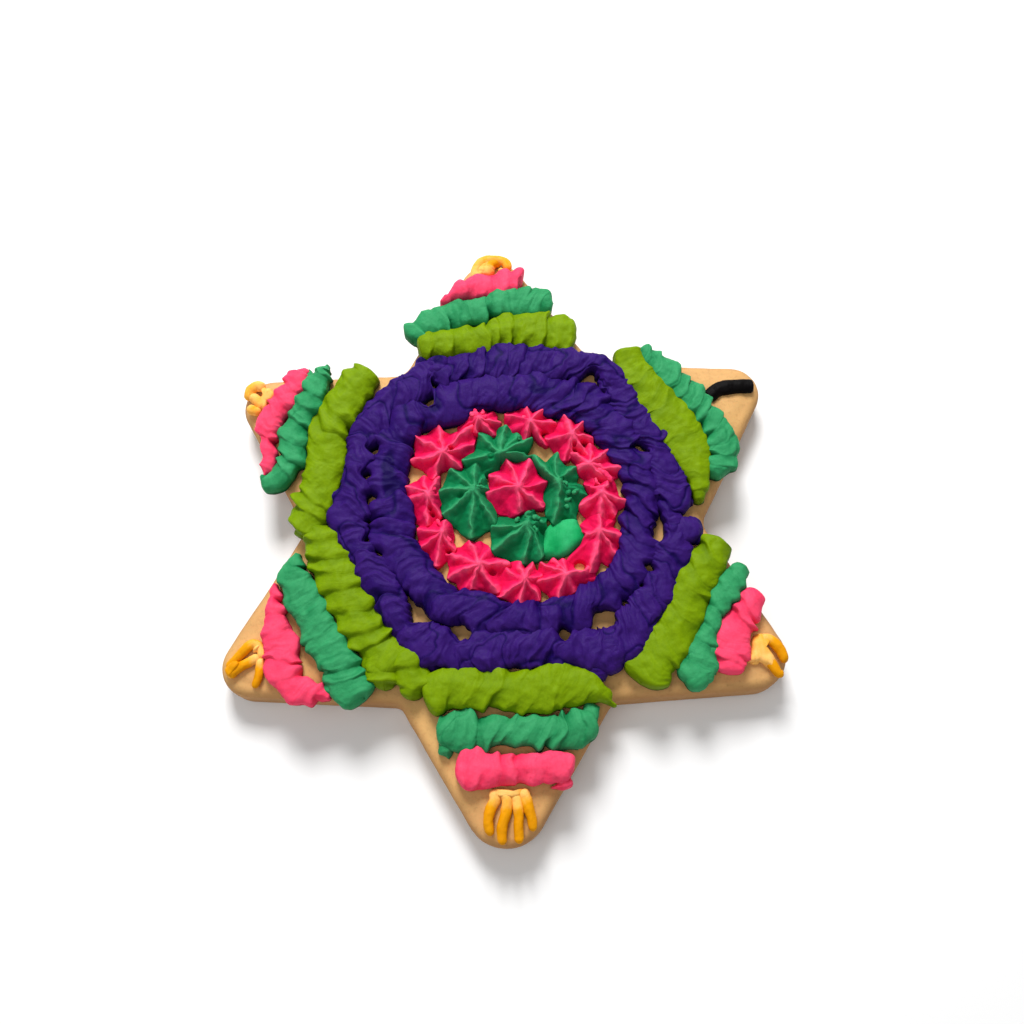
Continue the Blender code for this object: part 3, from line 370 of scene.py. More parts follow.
# Loose threads and crumbs on the rosettes: radius, height above the biscuit, route
CRUMBS = {
    "pink_rosette_02": [
        (0.26, 1.7, [(-3.7, 19.2), (-3.8, 20.0), (-3.9, 20.5)]),
        (0.26, 1.7, [(-2.7, 19.2), (-2.5, 19.7), (-2.6, 20.2)]),
        (0.45, 2.0, [(-4.8, 19.2), (-3.8, 19.3), (-3.4, 18.6)]),
        (0.40, 2.1, [(-3.3, 18.4), (-2.4, 18.6), (-1.9, 19.0)])],
    "pink_rosette_03": [
        (0.28, 1.7, [(4.1, 18.3), (4.6, 18.4), (4.9, 18.1)])],
    "pink_rosette_06": [
        (0.42, 1.8, [(16.8, 9.5), (16.7, 8.4), (17.7, 7.5), (18.8, 6.3)]),
        (0.36, 1.7, [(18.1, 5.8), (17.1, 5.2), (15.8, 5.2), (14.9, 5.4)]),
        (0.30, 1.7, [(15.9, 7.0), (16.2, 6.2), (16.7, 5.7)])],
    "pink_rosette_08": [
        (0.30, 2.3, [(10.6, -9.5), (10.9, -9.4), (11.0, -9.1)]),
        (0.30, 2.0, [(8.9, -7.9), (9.3, -8.5), (9.9, -9.0)])],
    "pink_rosette_11": [
        (0.30, 1.9, [(-9.4, -0.6), (-9.6, -1.3), (-9.5, -1.8)]),
        (0.26, 1.7, [(-9.3, -2.0), (-9.3, -2.3), (-9.2, -2.6)]),
        (0.30, 1.6, [(-9.0, -2.0), (-8.6, -2.7), (-8.1, -3.2)]),
        (0.26, 1.5, [(-10.4, 0.8), (-10.1, 0.1), (-9.6, -0.6)])],
    "pink_rosette_12": [
        (0.30, 2.0, [(-11.8, 4.1), (-12.0, 3.5), (-12.1, 3.0)]),
        (0.25, 2.0, [(-11.1, 4.3), (-11.2, 3.9), (-11.2, 3.4)]),
        (0.32, 1.7, [(-12.0, 5.6), (-11.2, 5.8), (-10.6, 6.3)])],
    "green_rosette_1": [
        (0.24, 2.2, [(-3.4, 6.4), (-3.2, 6.9), (-2.9, 7.4)]),
        (0.24, 2.3, [(-6.6, 5.5), (-5.9, 5.6), (-5.1, 5.5)]),
        (0.30, 2.4, [(-4.6, 6.1), (-4.0, 6.0), (-3.0, 5.9), (-2.3, 5.7)])],
    "green_rosette_2": [
        (0.28, 1.6, [(3.5, 14.4), (3.5, 14.8), (3.7, 15.1)])],
    "green_rosette_3": [
        (0.36, 1.5, [(11.0, 5.9), (11.4, 5.0), (11.0, 4.3)]),
        (0.42, 1.3, [(12.0, 4.4), (12.6, 5.0), (13.2, 5.2)]),
        (0.30, 1.7, [(12.2, 4.5), (12.5, 4.5), (12.6, 4.3)]),
        (0.34, 1.3, [(10.6, 3.4), (11.3, 3.5), (11.9, 3.9)]),
        (0.30, 1.2, [(10.9, 2.7), (11.0, 2.3), (11.0, 1.9)]),
        (0.24, 2.3, [(10.3, 6.0), (11.0, 6.3), (11.1, 5.6)])],
    "green_rosette_4": [
        (0.45, 1.7, [(4.2, 0.4), (4.5, 1.1), (5.2, 1.4)]),
        (0.34, 1.9, [(5.2, 0.3), (6.0, 0.4), (6.5, 0.0)]),
        (0.30, 1.8, [(6.4, -0.1), (6.9, -0.4), (7.2, -0.7)]),
        (0.30, 1.9, [(3.9, -1.9), (3.6, -1.4), (4.2, -1.2)]),
        (0.28, 1.9, [(5.4, -1.1), (5.9, -1.7), (5.8, -2.3)]),
        (0.34, 1.6, [(2.4, -0.2), (2.9, 0.4), (3.2, 0.1)])],
}
ROSETTE_COLUMNS = 232
ROSETTE_HOLLOW = 2.20    # how far the hollows lie below the ridges
RIDGE_WIDTH = 0.90       # distance over which a ridge falls to about a third
RIDGE_BLUNTNESS = 0.22   # roundness of its crest
SWIRL = 0.30             # how far the ridges curl at the peak, in radians

# Yellow strands: radius, how deep the yellow is at the tip, then x, y from the root to the tip
STRANDS = {
    "yellow_top": [
        (1.00, 0.4, [(-3.0, 46.6), (-3.4, 48.0), (-3.0, 49.4), (-1.9, 50.4), (-0.3, 50.7), (1.3, 50.5),
                     (2.2, 49.7), (2.3, 48.3)]),
        (1.00, 0.2, [(-2.4, 47.6), (-2.0, 49.2), (-1.2, 50.1)]),
        (0.95, 0.7, [(-0.9, 48.1), (-0.8, 49.3), (0.1, 50.0), (1.1, 49.8)]),
        (0.65, 0.2, [(1.2, 48.2), (1.1, 49.2)]),
    ],
    "yellow_upper_left": [
        (0.90, 0.4, [(-40.7, 26.5), (-42.1, 27.0), (-43.2, 26.3), (-43.6, 25.1), (-43.0, 24.5)]),
        (0.90, 0.2, [(-43.2, 25.2), (-42.2, 24.3), (-41.3, 23.3), (-40.6, 22.7)]),
        (0.90, 0.4, [(-43.4, 23.1), (-42.6, 22.3), (-41.2, 21.8)]),
        (0.95, 0.1, [(-40.6, 26.3), (-40.2, 25.2), (-40.6, 23.6)]),
        (1.10, 0.0, [(-39.8, 25.3), (-39.5, 24.8)]),
    ],
    "yellow_lower_right": [
        (0.88, 0.9, [(40.5, -20.7), (42.0, -20.9), (43.2, -22.0), (43.9, -23.4), (44.0, -24.7)]),
        (0.86, 0.9, [(40.3, -23.7), (41.6, -24.2), (42.2, -25.2), (42.9, -26.2), (43.7, -26.1)]),
        (0.60, 0.1, [(40.2, -24.0), (38.6, -24.3)]),
    ],
    "yellow_bottom": [
        (0.86, 0.9, [(-2.2, -42.5), (-1.9, -44.0), (-2.6, -45.5), (-3.0, -47.2), (-2.6, -49.3)]),
        (0.88, 0.9, [(-0.6, -42.9), (-0.1, -44.2), (-0.3, -46.0), (-0.9, -48.0), (-0.9, -50.6)]),
        (0.82, 0.9, [(1.2, -43.1), (1.6, -45.5), (1.6, -48.0), (1.6, -50.5)]),
        (0.86, 0.9, [(2.5, -42.5), (3.0, -45.0), (3.6, -47.0), (3.8, -48.8)]),
    ],
    "yellow_lower_left": [
        (0.82, 0.8, [(-38.7, -21.4), (-38.7, -20.2), (-39.3, -19.3), (-40.3, -19.0), (-41.4, -19.8),
                     (-42.6, -21.0), (-43.5, -22.0), (-44.2, -22.7)]),
        (0.80, 0.8, [(-39.0, -20.9), (-40.2, -21.6), (-41.6, -22.3), (-42.9, -23.2), (-43.6, -24.2)]),
        (0.74, 0.9, [(-38.8, -21.2), (-38.9, -22.8), (-39.1, -24.3), (-39.7, -26.0)]),
        (1.00, 0.0, [(-39.8, -19.4), (-39.1, -20.1)]),
    ],
}

# Sheets of yellow the strands grow from: how deep the yellow is, then outlines
YELLOW_SHEETS = {
    "yellow_top": (0.1, [
        (-3.2, 46.9), (-3.9, 48.4), (-3.3, 49.8), (-1.8, 50.9), (0.0, 51.0), (0.3, 50.0), (-0.2, 49.2),
        (0.0, 48.2), (-0.8, 47.4), (-2.2, 47.2)]),
    "yellow_upper_left": (0.1, [
        (-38.7, 25.1), (-39.4, 26.0), (-40.2, 26.1), (-40.9, 26.7), (-41.4, 26.2), (-41.1, 25.0),
        (-41.8, 24.3), (-42.0, 23.2), (-41.0, 22.3), (-40.3, 22.6), (-40.1, 23.6), (-39.1, 24.2)]),
    "yellow_lower_right": (0.15, [
        (38.2, -24.2), (39.0, -22.5), (39.3, -21.0), (40.0, -20.0), (41.4, -19.9), (42.3, -20.7),
        (41.5, -21.7), (42.1, -23.0), (42.7, -24.5), (42.3, -25.7), (41.2, -25.1), (40.2, -24.4),
        (39.1, -24.6)]),
    "yellow_bottom": (0.1, [
        (-2.0, -42.5), (0.0, -42.6), (1.2, -42.8), (2.3, -42.5), (2.3, -43.4), (1.3, -43.9), (0.3, -43.8),
        (-1.0, -43.7), (-2.0, -43.4)]),
    "yellow_lower_left": (0.7, [
        (-41.9, -21.8), (-42.8, -21.4), (-44.0, -22.3), (-44.5, -23.0), (-44.2, -23.9), (-43.6, -24.3),
        (-42.8, -23.4), (-42.0, -22.5)]),
}
SHEET_HEIGHT = 1.35
STRAND_ROW_STEP = 0.09
STRAND_SIDES = 32


# ---------------------------------------------------------------------------------------------
# Shared geometry
# ---------------------------------------------------------------------------------------------
def smooth_path(stations, count, closed=False):
    """A Catmull-Rom curve through the stations, read at evenly spaced places.

    Every column of the stations is carried along, so x, y and half-width change together. The last
    column of the result is the distance run from the start.
    """
    knots = np.array(stations, dtype=float)
    if closed:
        knots = np.vstack([knots[-1], knots, knots[:2]])
    else:
        knots = np.vstack([2 * knots[0] - knots[1], knots, 2 * knots[-1] - knots[-2]])
    t = np.linspace(0, 1, 40, endpoint=False)[:, None]
    spans = []
    for a, b, c, d in zip(knots, knots[1:], knots[2:], knots[3:]):
        bend = 2 * a - 5 * b + 4 * c - d
        twist = 3 * (b - c) + d - a
        curve = 2 * b + (c - a) * t + bend * t**2 + twist * t**3
        spans.append(curve / 2)
    fine = np.vstack(spans + [knots[-2:-1]])
    steps = np.linalg.norm(np.diff(fine[:, :2], axis=0), axis=1)
    run = np.concatenate([[0.0], np.cumsum(steps)])
    wanted = np.linspace(0, run[-1], count, endpoint=not closed)
    return np.column_stack([np.interp(wanted, run, column) for column in fine.T] + [wanted])


def path_length(stations, closed=False):
    return smooth_path(stations, 2000, closed)[-1, -1]


def directions(path, closed):
    """Unit vectors along the path and to its left."""
    if closed:
        ahead = np.roll(path, -1, axis=0) - np.roll(path, 1, axis=0)
    else:
        ahead = np.gradient(path, axis=0)
    ahead /= np.linalg.norm(ahead, axis=1)[:, None]
    return ahead, np.column_stack([-ahead[:, 1], ahead[:, 0]])


def lumps(points, size, seed):
    """Smooth noise between -1 and 1.

    A random value stands at each corner of a lattice with cells of the given size, and the eight
    corners of a cell are blended by the eased place of the point within it.
    """
    table = np.random.default_rng(seed).uniform(-1, 1, (32, 32, 32))
    scaled = points / size
    cell = np.floor(scaled).astype(int)
    ease = scaled - cell
    ease = ease * ease * (3 - 2 * ease)
    total = np.zeros(points.shape[:-1])
    for corner in itertools.product((0, 1), repeat=3):
        weight = np.prod(np.where(corner, ease, 1 - ease), axis=-1)
        x, y, z = np.moveaxis((cell + corner) % 32, -1, 0)
        total += weight * table[x, y, z]
    return total


def smoothstep(low, high, value):
    """0 below low, 1 above high, and an eased rise between."""
    t = np.clip((value - low) / (high - low), 0, 1)
    return t * t * (3 - 2 * t)


def surface_mesh(name, sheets):
    """One mesh from closed surfaces: a grid of points in millimetres, its shade and its grain.

    The grain is a place in millimetres, along and across the streaks of the icing, and becomes the
    texture map. The columns of a grid run round it and join up. Its rows join up too if it is a
    ring, and otherwise the first and last rows are closed by a fan to their middle.
    """
    corners, shades, grains, faces = [], [], [], []
    offset = 0
    for points, shade, grain, ring in sheets:
        rows, columns = points.shape[:2]
        index = offset + np.arange(rows * columns).reshape(rows, columns)
        ahead = np.roll(index, -1, axis=0) if ring else index[1:]
        here = index if ring else index[:-1]
        quads = np.stack([here, ahead, np.roll(ahead, -1, 1), np.roll(here, -1, 1)], axis=-1)
        quads = quads.reshape(-1, 4)
        triangles = np.vstack([quads[:, [0, 1, 2]], quads[:, [0, 2, 3]]])
        flat = points.reshape(-1, 3)
        tone = shade.reshape(-1)
        streak = grain.reshape(-1, 2)
        if not ring:
            middles = [points[0].mean(axis=0), points[-1].mean(axis=0)]
            flat = np.vstack([flat, middles])
            tone = np.concatenate([tone, [shade[0].mean(), shade[-1].mean()]])
            streak = np.vstack([streak, grain[0].mean(axis=0), grain[-1].mean(axis=0)])
            first, last = offset + rows * columns, offset + rows * columns + 1
            start, end = index[0], index[-1]
            fan = np.stack([np.full(columns, first), start, np.roll(start, -1)], axis=-1)
            other = np.stack([np.full(columns, last), np.roll(end, -1), end], axis=-1)
            triangles = np.vstack([triangles, fan, other])
        a, b, c = (flat[triangles[:, k] - offset] for k in range(3))
        if np.einsum("ij,ij->", a, np.cross(b, c)) < 0:
            triangles = triangles[:, ::-1]
        corners.append(flat)
        shades.append(tone)
        grains.append(streak)
        faces.append(triangles)
        offset += len(flat)
    corners, shades, faces = np.vstack(corners), np.concatenate(shades), np.vstack(faces)
    mesh = bpy.data.meshes.new(name)
    mesh.from_pydata((corners * MM).tolist(), [], faces.tolist())
    mesh.update()
    # The shade becomes the crease attribute: painted shade and painted highlight on the ruffles and
    # rosettes, tint on the strands and pads, browning on the biscuit
    layer = mesh.attributes.new("crease", "FLOAT", "POINT")
    layer.data.foreach_set("value", shades.astype(np.float32))
    grain = np.vstack(grains)[faces.reshape(-1)] / 100
    mesh.uv_layers.new(name="grain").data.foreach_set("uv", grain.astype(np.float32).reshape(-1))
    mesh.shade_smooth()
    return mesh


def add_piece(node, sheets, material):
    """Makes the piece that stands for a node: its object, finish, slot and body."""
    piece = bpy.data.objects.new(node + "_fine", surface_mesh(node, sheets))
    bpy.context.scene.collection.objects.link(piece)
    piece.data.materials.append(material)
    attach(piece, BODY)
    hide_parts(node)
    return piece


COOKIE_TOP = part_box("cookie")[1].z / MM


def node_heights(node):
    """Where a piece of icing starts, bedded in the biscuit, and the top of its solid."""
    return COOKIE_TOP - SINK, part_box(node)[1].z / MM


# ---------------------------------------------------------------------------------------------
# Biscuit surface
# ---------------------------------------------------------------------------------------------
def star_outline(count):
    """Evenly spaced points on the star with rounded corners, and the inward direction at each."""
    outline = []
    for i, (x, y, radius) in enumerate(STAR):
        corner = Vector((x, y))
        before = (Vector(STAR[i - 1][:2]) - corner).normalized()
        after = (Vector(STAR[(i + 1) % len(STAR)][:2]) - corner).normalized()
        half = before.angle(after) / 2
        centre = corner + (before + after).normalized() * radius / math.sin(half)
        start = (corner + before * radius / math.tan(half) - centre) / radius
        end = (corner + after * radius / math.tan(half) - centre) / radius
        for step in np.linspace(0, 1, 25):
            outline.append(centre + start.slerp(end, step) * radius)
    outline = np.array(outline + outline[:1])
    steps = np.linalg.norm(np.diff(outline, axis=0), axis=1)
    run = np.concatenate([[0.0], np.cumsum(steps)])
    wanted = np.linspace(0, run[-1], count, endpoint=False)
    points = np.column_stack([np.interp(wanted, run, column) for column in outline.T])
    _, inward = directions(points, closed=True)
    return points, inward


def make_cookie():
    """The baked star: rings of points from the middle of the top, over the rim, to the underside.

    Each ring is the outline moved inwards. Inside the shoulder the rings are that inner outline
    shrunk towards the middle.
    """
    outline, inward = star_outline(OUTLINE_POINTS)
    top = COOKIE_TOP
    inner = outline + inward * (RIM_ROUNDING + SHOULDER)
    rings = []
    for share in np.linspace(0.02, 1, 46, endpoint=False):
        rings.append(np.column_stack([inner * share, np.full(len(inner), top)]))
    for share in np.linspace(1, 0, 8, endpoint=False):
        flat = outline + inward * (RIM_ROUNDING + SHOULDER * share)
        drop = SHOULDER_DROP * (1 - share) ** 2
        rings.append(np.column_stack([flat, np.full(len(flat), top - drop)]))
    height = RIM_ROUNDING - SHOULDER_DROP
    for angle in np.linspace(0, math.pi / 2, 9):
        inset = RIM_ROUNDING * (1 - math.sin(angle))
        z = top - SHOULDER_DROP - height * (1 - math.cos(angle))
        rings.append(np.column_stack([outline + inward * inset, np.full(len(outline), z)]))
    for z in np.linspace(top - RIM_ROUNDING, FOOT_ROUNDING, 7)[1:]:
        rings.append(np.column_stack([outline, np.full(len(outline), z)]))
    for angle in np.linspace(0, math.pi / 2, 4)[1:]:
        inset = FOOT_ROUNDING * (1 - math.cos(angle))
        z = FOOT_ROUNDING * (1 - math.sin(angle))
        rings.append(np.column_stack([outline + inward * inset, np.full(len(outline), z)]))
    for share in (0.6, 0.2, 0.02):
        rings.append(np.column_stack([inner * share, np.zeros(len(inner))]))
    points = np.array(rings)
    free = smoothstep(0.0, 1.5, points[..., 2])
    bumps = 0.16 * lumps(points, 7.0, 1) + 0.07 * lumps(points, 2.4, 2)
    bumps += 0.025 * lumps(points, 0.9, 3)
    rim = smoothstep(top - 0.2, top - 1.5, points[..., 2])
    outward = -np.broadcast_to(inward, points[..., :2].shape)
    swell = free * (0.12 * lumps(points, 9.0, 4) + 0.05 * lumps(points, 1.8, 5)) * rim
    points[..., :2] += outward * swell[..., None]
    points[..., 2] += free * bumps * (1 - 0.6 * rim) - 0.08 * free
    add_piece("cookie", [(points, rim, points[..., :2], False)], biscuit_finish())


# ---------------------------------------------------------------------------------------------
# Icing surfaces
# ---------------------------------------------------------------------------------------------
def fold_pattern(place, across, length, piping, rng):
    """How deep in a crease each place lies, and how close to the line at its bottom, both 0 to 1.

    The folds have uneven lengths. A fold is a half wave of its phase raised to a power, so that it
    rises gently and drops suddenly, and the wave itself is raised to a power: the smaller it is, the
    sharper the crease. Each crease has a strength of its own, which fades towards one side of the band.
    """
    count = max(2, round(length / piping["fold"]))
    sizes = 1 + piping["jitter"] * rng.uniform(-1, 1, count)
    edges = np.concatenate([[0.0], np.cumsum(sizes)]) / sizes.sum() * length
    wrapped = np.mod(place, length)
    fold = np.clip(np.searchsorted(edges, wrapped, side="right") - 1, 0, count - 1)
    phase = (wrapped - edges[fold]) / (edges[fold + 1] - edges[fold])
    hump = np.clip(np.sin(math.pi * phase ** piping["steep"]), 0, 1) ** piping["sharp"]
    cut = 0.12 + 0.88 * rng.uniform(0, 1, count) ** piping["merge"]
    tilt = rng.uniform(-1, 1, count)

    def strength(crease):
        fade = 0.6 + 0.55 * tilt[crease] * across + 0.25 * np.abs(across)
        return cut[crease] * np.clip(fade, 0.1, 1.0)

    before, after = strength(fold), strength((fold + 1) % count)
    dip = (1 - hump) * (before * (1 - phase) + after * phase)
    distance = np.minimum(wrapped - edges[fold], edges[fold + 1] - wrapped)
    line = np.exp(-((distance / 0.22) ** 2)) * np.where(phase < 0.5, before, after)
    spread = rng.uniform(-1, 1, (3, count))[:, fold]
    return dip, line, hump, spread


def section(columns, square):
    """Evenly spaced points over a rounded block: across from 1 to -1, and up from 0 to 1.

    The curve is |across|^square + |up|^square = 1, and it turns in a little below its widest place.
    """
    angle = np.linspace(math.radians(-24), math.radians(204), 2000)
    power = 2 / square
    across = np.sign(np.cos(angle)) * np.abs(np.cos(angle)) ** power
    up = np.where(angle < 0, np.sin(angle), np.abs(np.sin(angle)) ** power)
    up = np.where(angle > math.pi, np.sin(angle), up)
    across = across * (1 + 0.10 * np.minimum(up, 0) / 0.4)
    up = (up - up.min()) / (up.max() - up.min())
    run = np.concatenate([[0.0], np.cumsum(np.hypot(np.diff(across), np.diff(up)))])
    wanted = np.linspace(0, run[-1], columns)
    return np.interp(wanted, run, across), np.interp(wanted, run, up)


def trim_at_gaps(reach, across, up, centre, ahead, left, gaps):
    """Holds the edges of a band back from the gaps beside it.

    Where the line across the band passes a gap, the edge on that side stops short of the middle of
    the gap. The bite is the radius times the squared cosine of how far past the middle the line is,
    and a gap is wider at the top than at the bottom.
    """
    for x, y, radius in gaps:
        offset = np.array([x, y]) - centre
        along = np.einsum("ij,ij->i", offset, ahead)
        aside = np.einsum("ij,ij->i", offset, left)
        past = np.clip(along / (GAP_FLARE * radius), -1, 1)
        bite = 1.15 * radius * np.cos(past * math.pi / 2) ** 2
        near = (np.abs(past) < 1) & (np.abs(aside) < 7)
        limit = np.maximum(np.abs(aside)[:, None] - bite[:, None] * (1.15 + 0.45 * up), 0.5)
        facing = across * np.sign(aside)[:, None] > 0
        reach = np.where(facing & near[:, None], np.minimum(reach, limit), reach)
    for shift in (1, 2):
        reach = (np.roll(reach, shift, axis=0) + 2 * reach + np.roll(reach, -shift, axis=0)) / 4
    return reach


def ruffle(node, stations, piping, lean, seed, closed=False, gaps=(), rise=1.0, columns=COLUMNS,
           step=ROW_STEP, rounding=END_ROUNDING):
    """A piped ruffle: a flat-topped section carried along a smooth route and drawn in at its creases.

    A crease lowers the crown and draws in the flanks by its depth in millimetres, most at the
    edges. The place of a crease shifts along the band with the distance across it, so that folds
    lean and bow, and each crest is pushed forward so that it hangs over the next crease. Soft
    lumps, small folds, fine lines along the folds and chance creases are added outwards.
    """
    rng = np.random.default_rng(seed)
    length = path_length(stations, closed)
    rows = round(length / step)
    x, y, half_width, run = smooth_path(stations, rows, closed).T
    ahead, left = directions(np.column_stack([x, y]), closed)
    foot, top = node_heights(node)
    height = (top - foot) * rise
    across, up = section(columns, piping["square"])

    width = half_width[:, None] + piping["spill"] * smoothstep(0.3, 2.0, half_width)[:, None]
    rough = np.stack(np.broadcast_arrays(run[:, None], across * width, 0.0), axis=-1)
    if closed:
        turn = 2 * math.pi * run[:, None] / length
        spoke = length / (2 * math.pi) + across * width
        rough = np.stack(np.broadcast_arrays(np.cos(turn) * spoke, np.sin(turn) * spoke, 0.0), axis=-1)
    rough = rough + rng.uniform(0, 50, 3)
    place = run[:, None] - lean * across * width + piping["bow"] * width * across**2
    place = place + 0.45 * across * width * lumps(rough * (1, 1, 0), 7.0, seed + 8)
    wander = 0.7 * lumps(rough, 3.4, seed + 1) + 0.3 * lumps(rough, 1.2, seed + 2)
    place = place + piping["wander"] * wander
    folded = length if closed else length + 2.0
    dip, line, hump, spread = fold_pattern(place, across, folded, piping, rng)

    still = smoothstep(-0.4, 0.4, lumps(rough, 9.0, seed + 13))
    calm = piping["calm"] + (1 - piping["calm"]) * still
    dip = dip * calm
    crest = (1 - dip) * (0.88 + 0.12 * lumps(rough, 2.2, seed + 9))
    flank = np.abs(across) ** 1.6
    side = np.where(across > 0, spread[0], spread[1])
    drawn = 1 - crest
    reach = width - piping["flank"] * (drawn - 0.4 * drawn.mean())
    reach = reach + 0.5 * piping["flank"] * side * hump
    reach = reach + piping["frill"] * lumps(rough, 1.3, seed + 10) * flank
    lift = height - piping["crown"] * (0.55 + 0.9 * flank) * (1 - crest)
    lift = lift - 0.15 * (1 - spread[2]) * hump
    lift = lift - 0.35 * flank - 0.3 * (1 + lumps(rough, 6.0, seed + 11))
    reach = np.maximum(reach, 0.55 * width)
    if closed:
        reach = trim_at_gaps(reach, across, up, np.column_stack([x, y]), ahead, left, gaps)
    else:
        end = np.minimum(run, length - run)
        ease = np.clip(end / (rounding * np.maximum(half_width, 0.6)), 0, 1)
        taper = np.sqrt(1 - (1 - ease) ** 2.4)[:, None] * 0.97 + 0.03
        reach = reach * taper
        lift = lift * (0.45 + 0.55 * taper)
        lift = lift * (0.55 + 0.45 * smoothstep(0.3, 1.8, half_width))[:, None]

    sideways = across * reach
    forward = piping["hang"] * (crest - 0.5) * up
    points = np.empty((rows, columns, 3))
    points[..., 0] = x[:, None] + left[:, :1] * sideways + ahead[:, :1] * forward
    points[..., 1] = y[:, None] + left[:, 1:] * sideways + ahead[:, 1:] * forward
    points[..., 2] = foot + up * lift
    outward = np.stack([left[:, :1] * across * flank, left[:, 1:] * across * flank,
                        np.broadcast_to(up, reach.shape)], axis=-1)
    soft = piping["lump"] * (0.6 * lumps(points, 2.6, seed + 3) + 0.4 * lumps(points, 1.1, seed + 4))
    soft += 0.04 * lumps(points, 0.45, seed + 5)
    small = np.stack(np.broadcast_arrays(place / 1.3, across * width / 3.2, seed * 0.73), axis=-1)
    soft = soft + piping["wrinkle"] * (1 - 2.2 * np.abs(lumps(small, 1.0, seed + 12)))
    grain = np.stack(np.broadcast_arrays(place / 0.40, across * width / 2.0, seed * 1.37), axis=-1)
    streaks = piping["streak"] * lumps(grain, 1.0, seed + 6)
    chance = np.stack(np.broadcast_arrays(place / 3.6, across * width / 4.5, seed * 2.11), axis=-1)
    seams = np.exp(-((lumps(chance, 1.0, seed + 7) / 0.07) ** 2))
    cuts = piping["seam"] * seams + piping["groove"] * line
    points += outward * (soft + streaks * up - cuts * up)[..., None]
    points[..., 2] = np.minimum(points[..., 2], top)
    # Painted shade: the crease attribute darkens the colour over the depth of each crease, along the
    # crease lines and chance creases, and on the low sides of the band where it meets its neighbours
    shade = piping["painted_line_shade"] * np.maximum(line, 0.8 * seams)
    shade = np.maximum((0.6 + 0.4 * piping["painted_line_shade"]) * dip**1.2, shade)
    painted_wall_shade = 1 - smoothstep(0.25, 0.75, up)
    shade = np.clip(np.maximum(shade, painted_wall_shade), 0, 1) * np.ones_like(reach)
    return points, shade, np.stack([place, across * width * np.ones_like(place)], axis=-1), closed


def mound(node, outline, height, tone, seed):
    """A low pad with steep sides: its outline shrunk towards the middle, and domed a little."""
    foot, top = node_heights(node)
    edge = smooth_path(outline, 160, closed=True)[:, :2]
    middle = edge.mean(axis=0)
    share = np.sin(np.linspace(0.02, 1, 44) * math.pi / 2)
    share = np.concatenate([share, np.ones(3)])[:, None]
    drop = np.concatenate([np.zeros(44), [0.15, 0.3, 0.35]])[:, None]
    points = np.empty((len(share), len(edge), 3))
    points[..., :2] = middle + (edge - middle) * share[..., None] * (1 - 0.05 * drop[..., None])
    points[..., 2] = foot + 0.35 + height * np.sqrt(1 - 0.995 * share**5) - drop
    soft = 0.26 * lumps(points, 2.6, seed) + 0.12 * lumps(points, 0.9, seed + 1)
    points[..., 2] += soft * (1 - share**6)
    points[..., :2] += (0.10 * lumps(points, 0.9, seed + 2) * share)[..., None]
    points[..., 2] = np.minimum(points[..., 2], top)
    shade = np.clip(tone + 0.4 * lumps(points, 2.2, seed + 3), 0, 1)
    return points, shade, points[..., :2], False


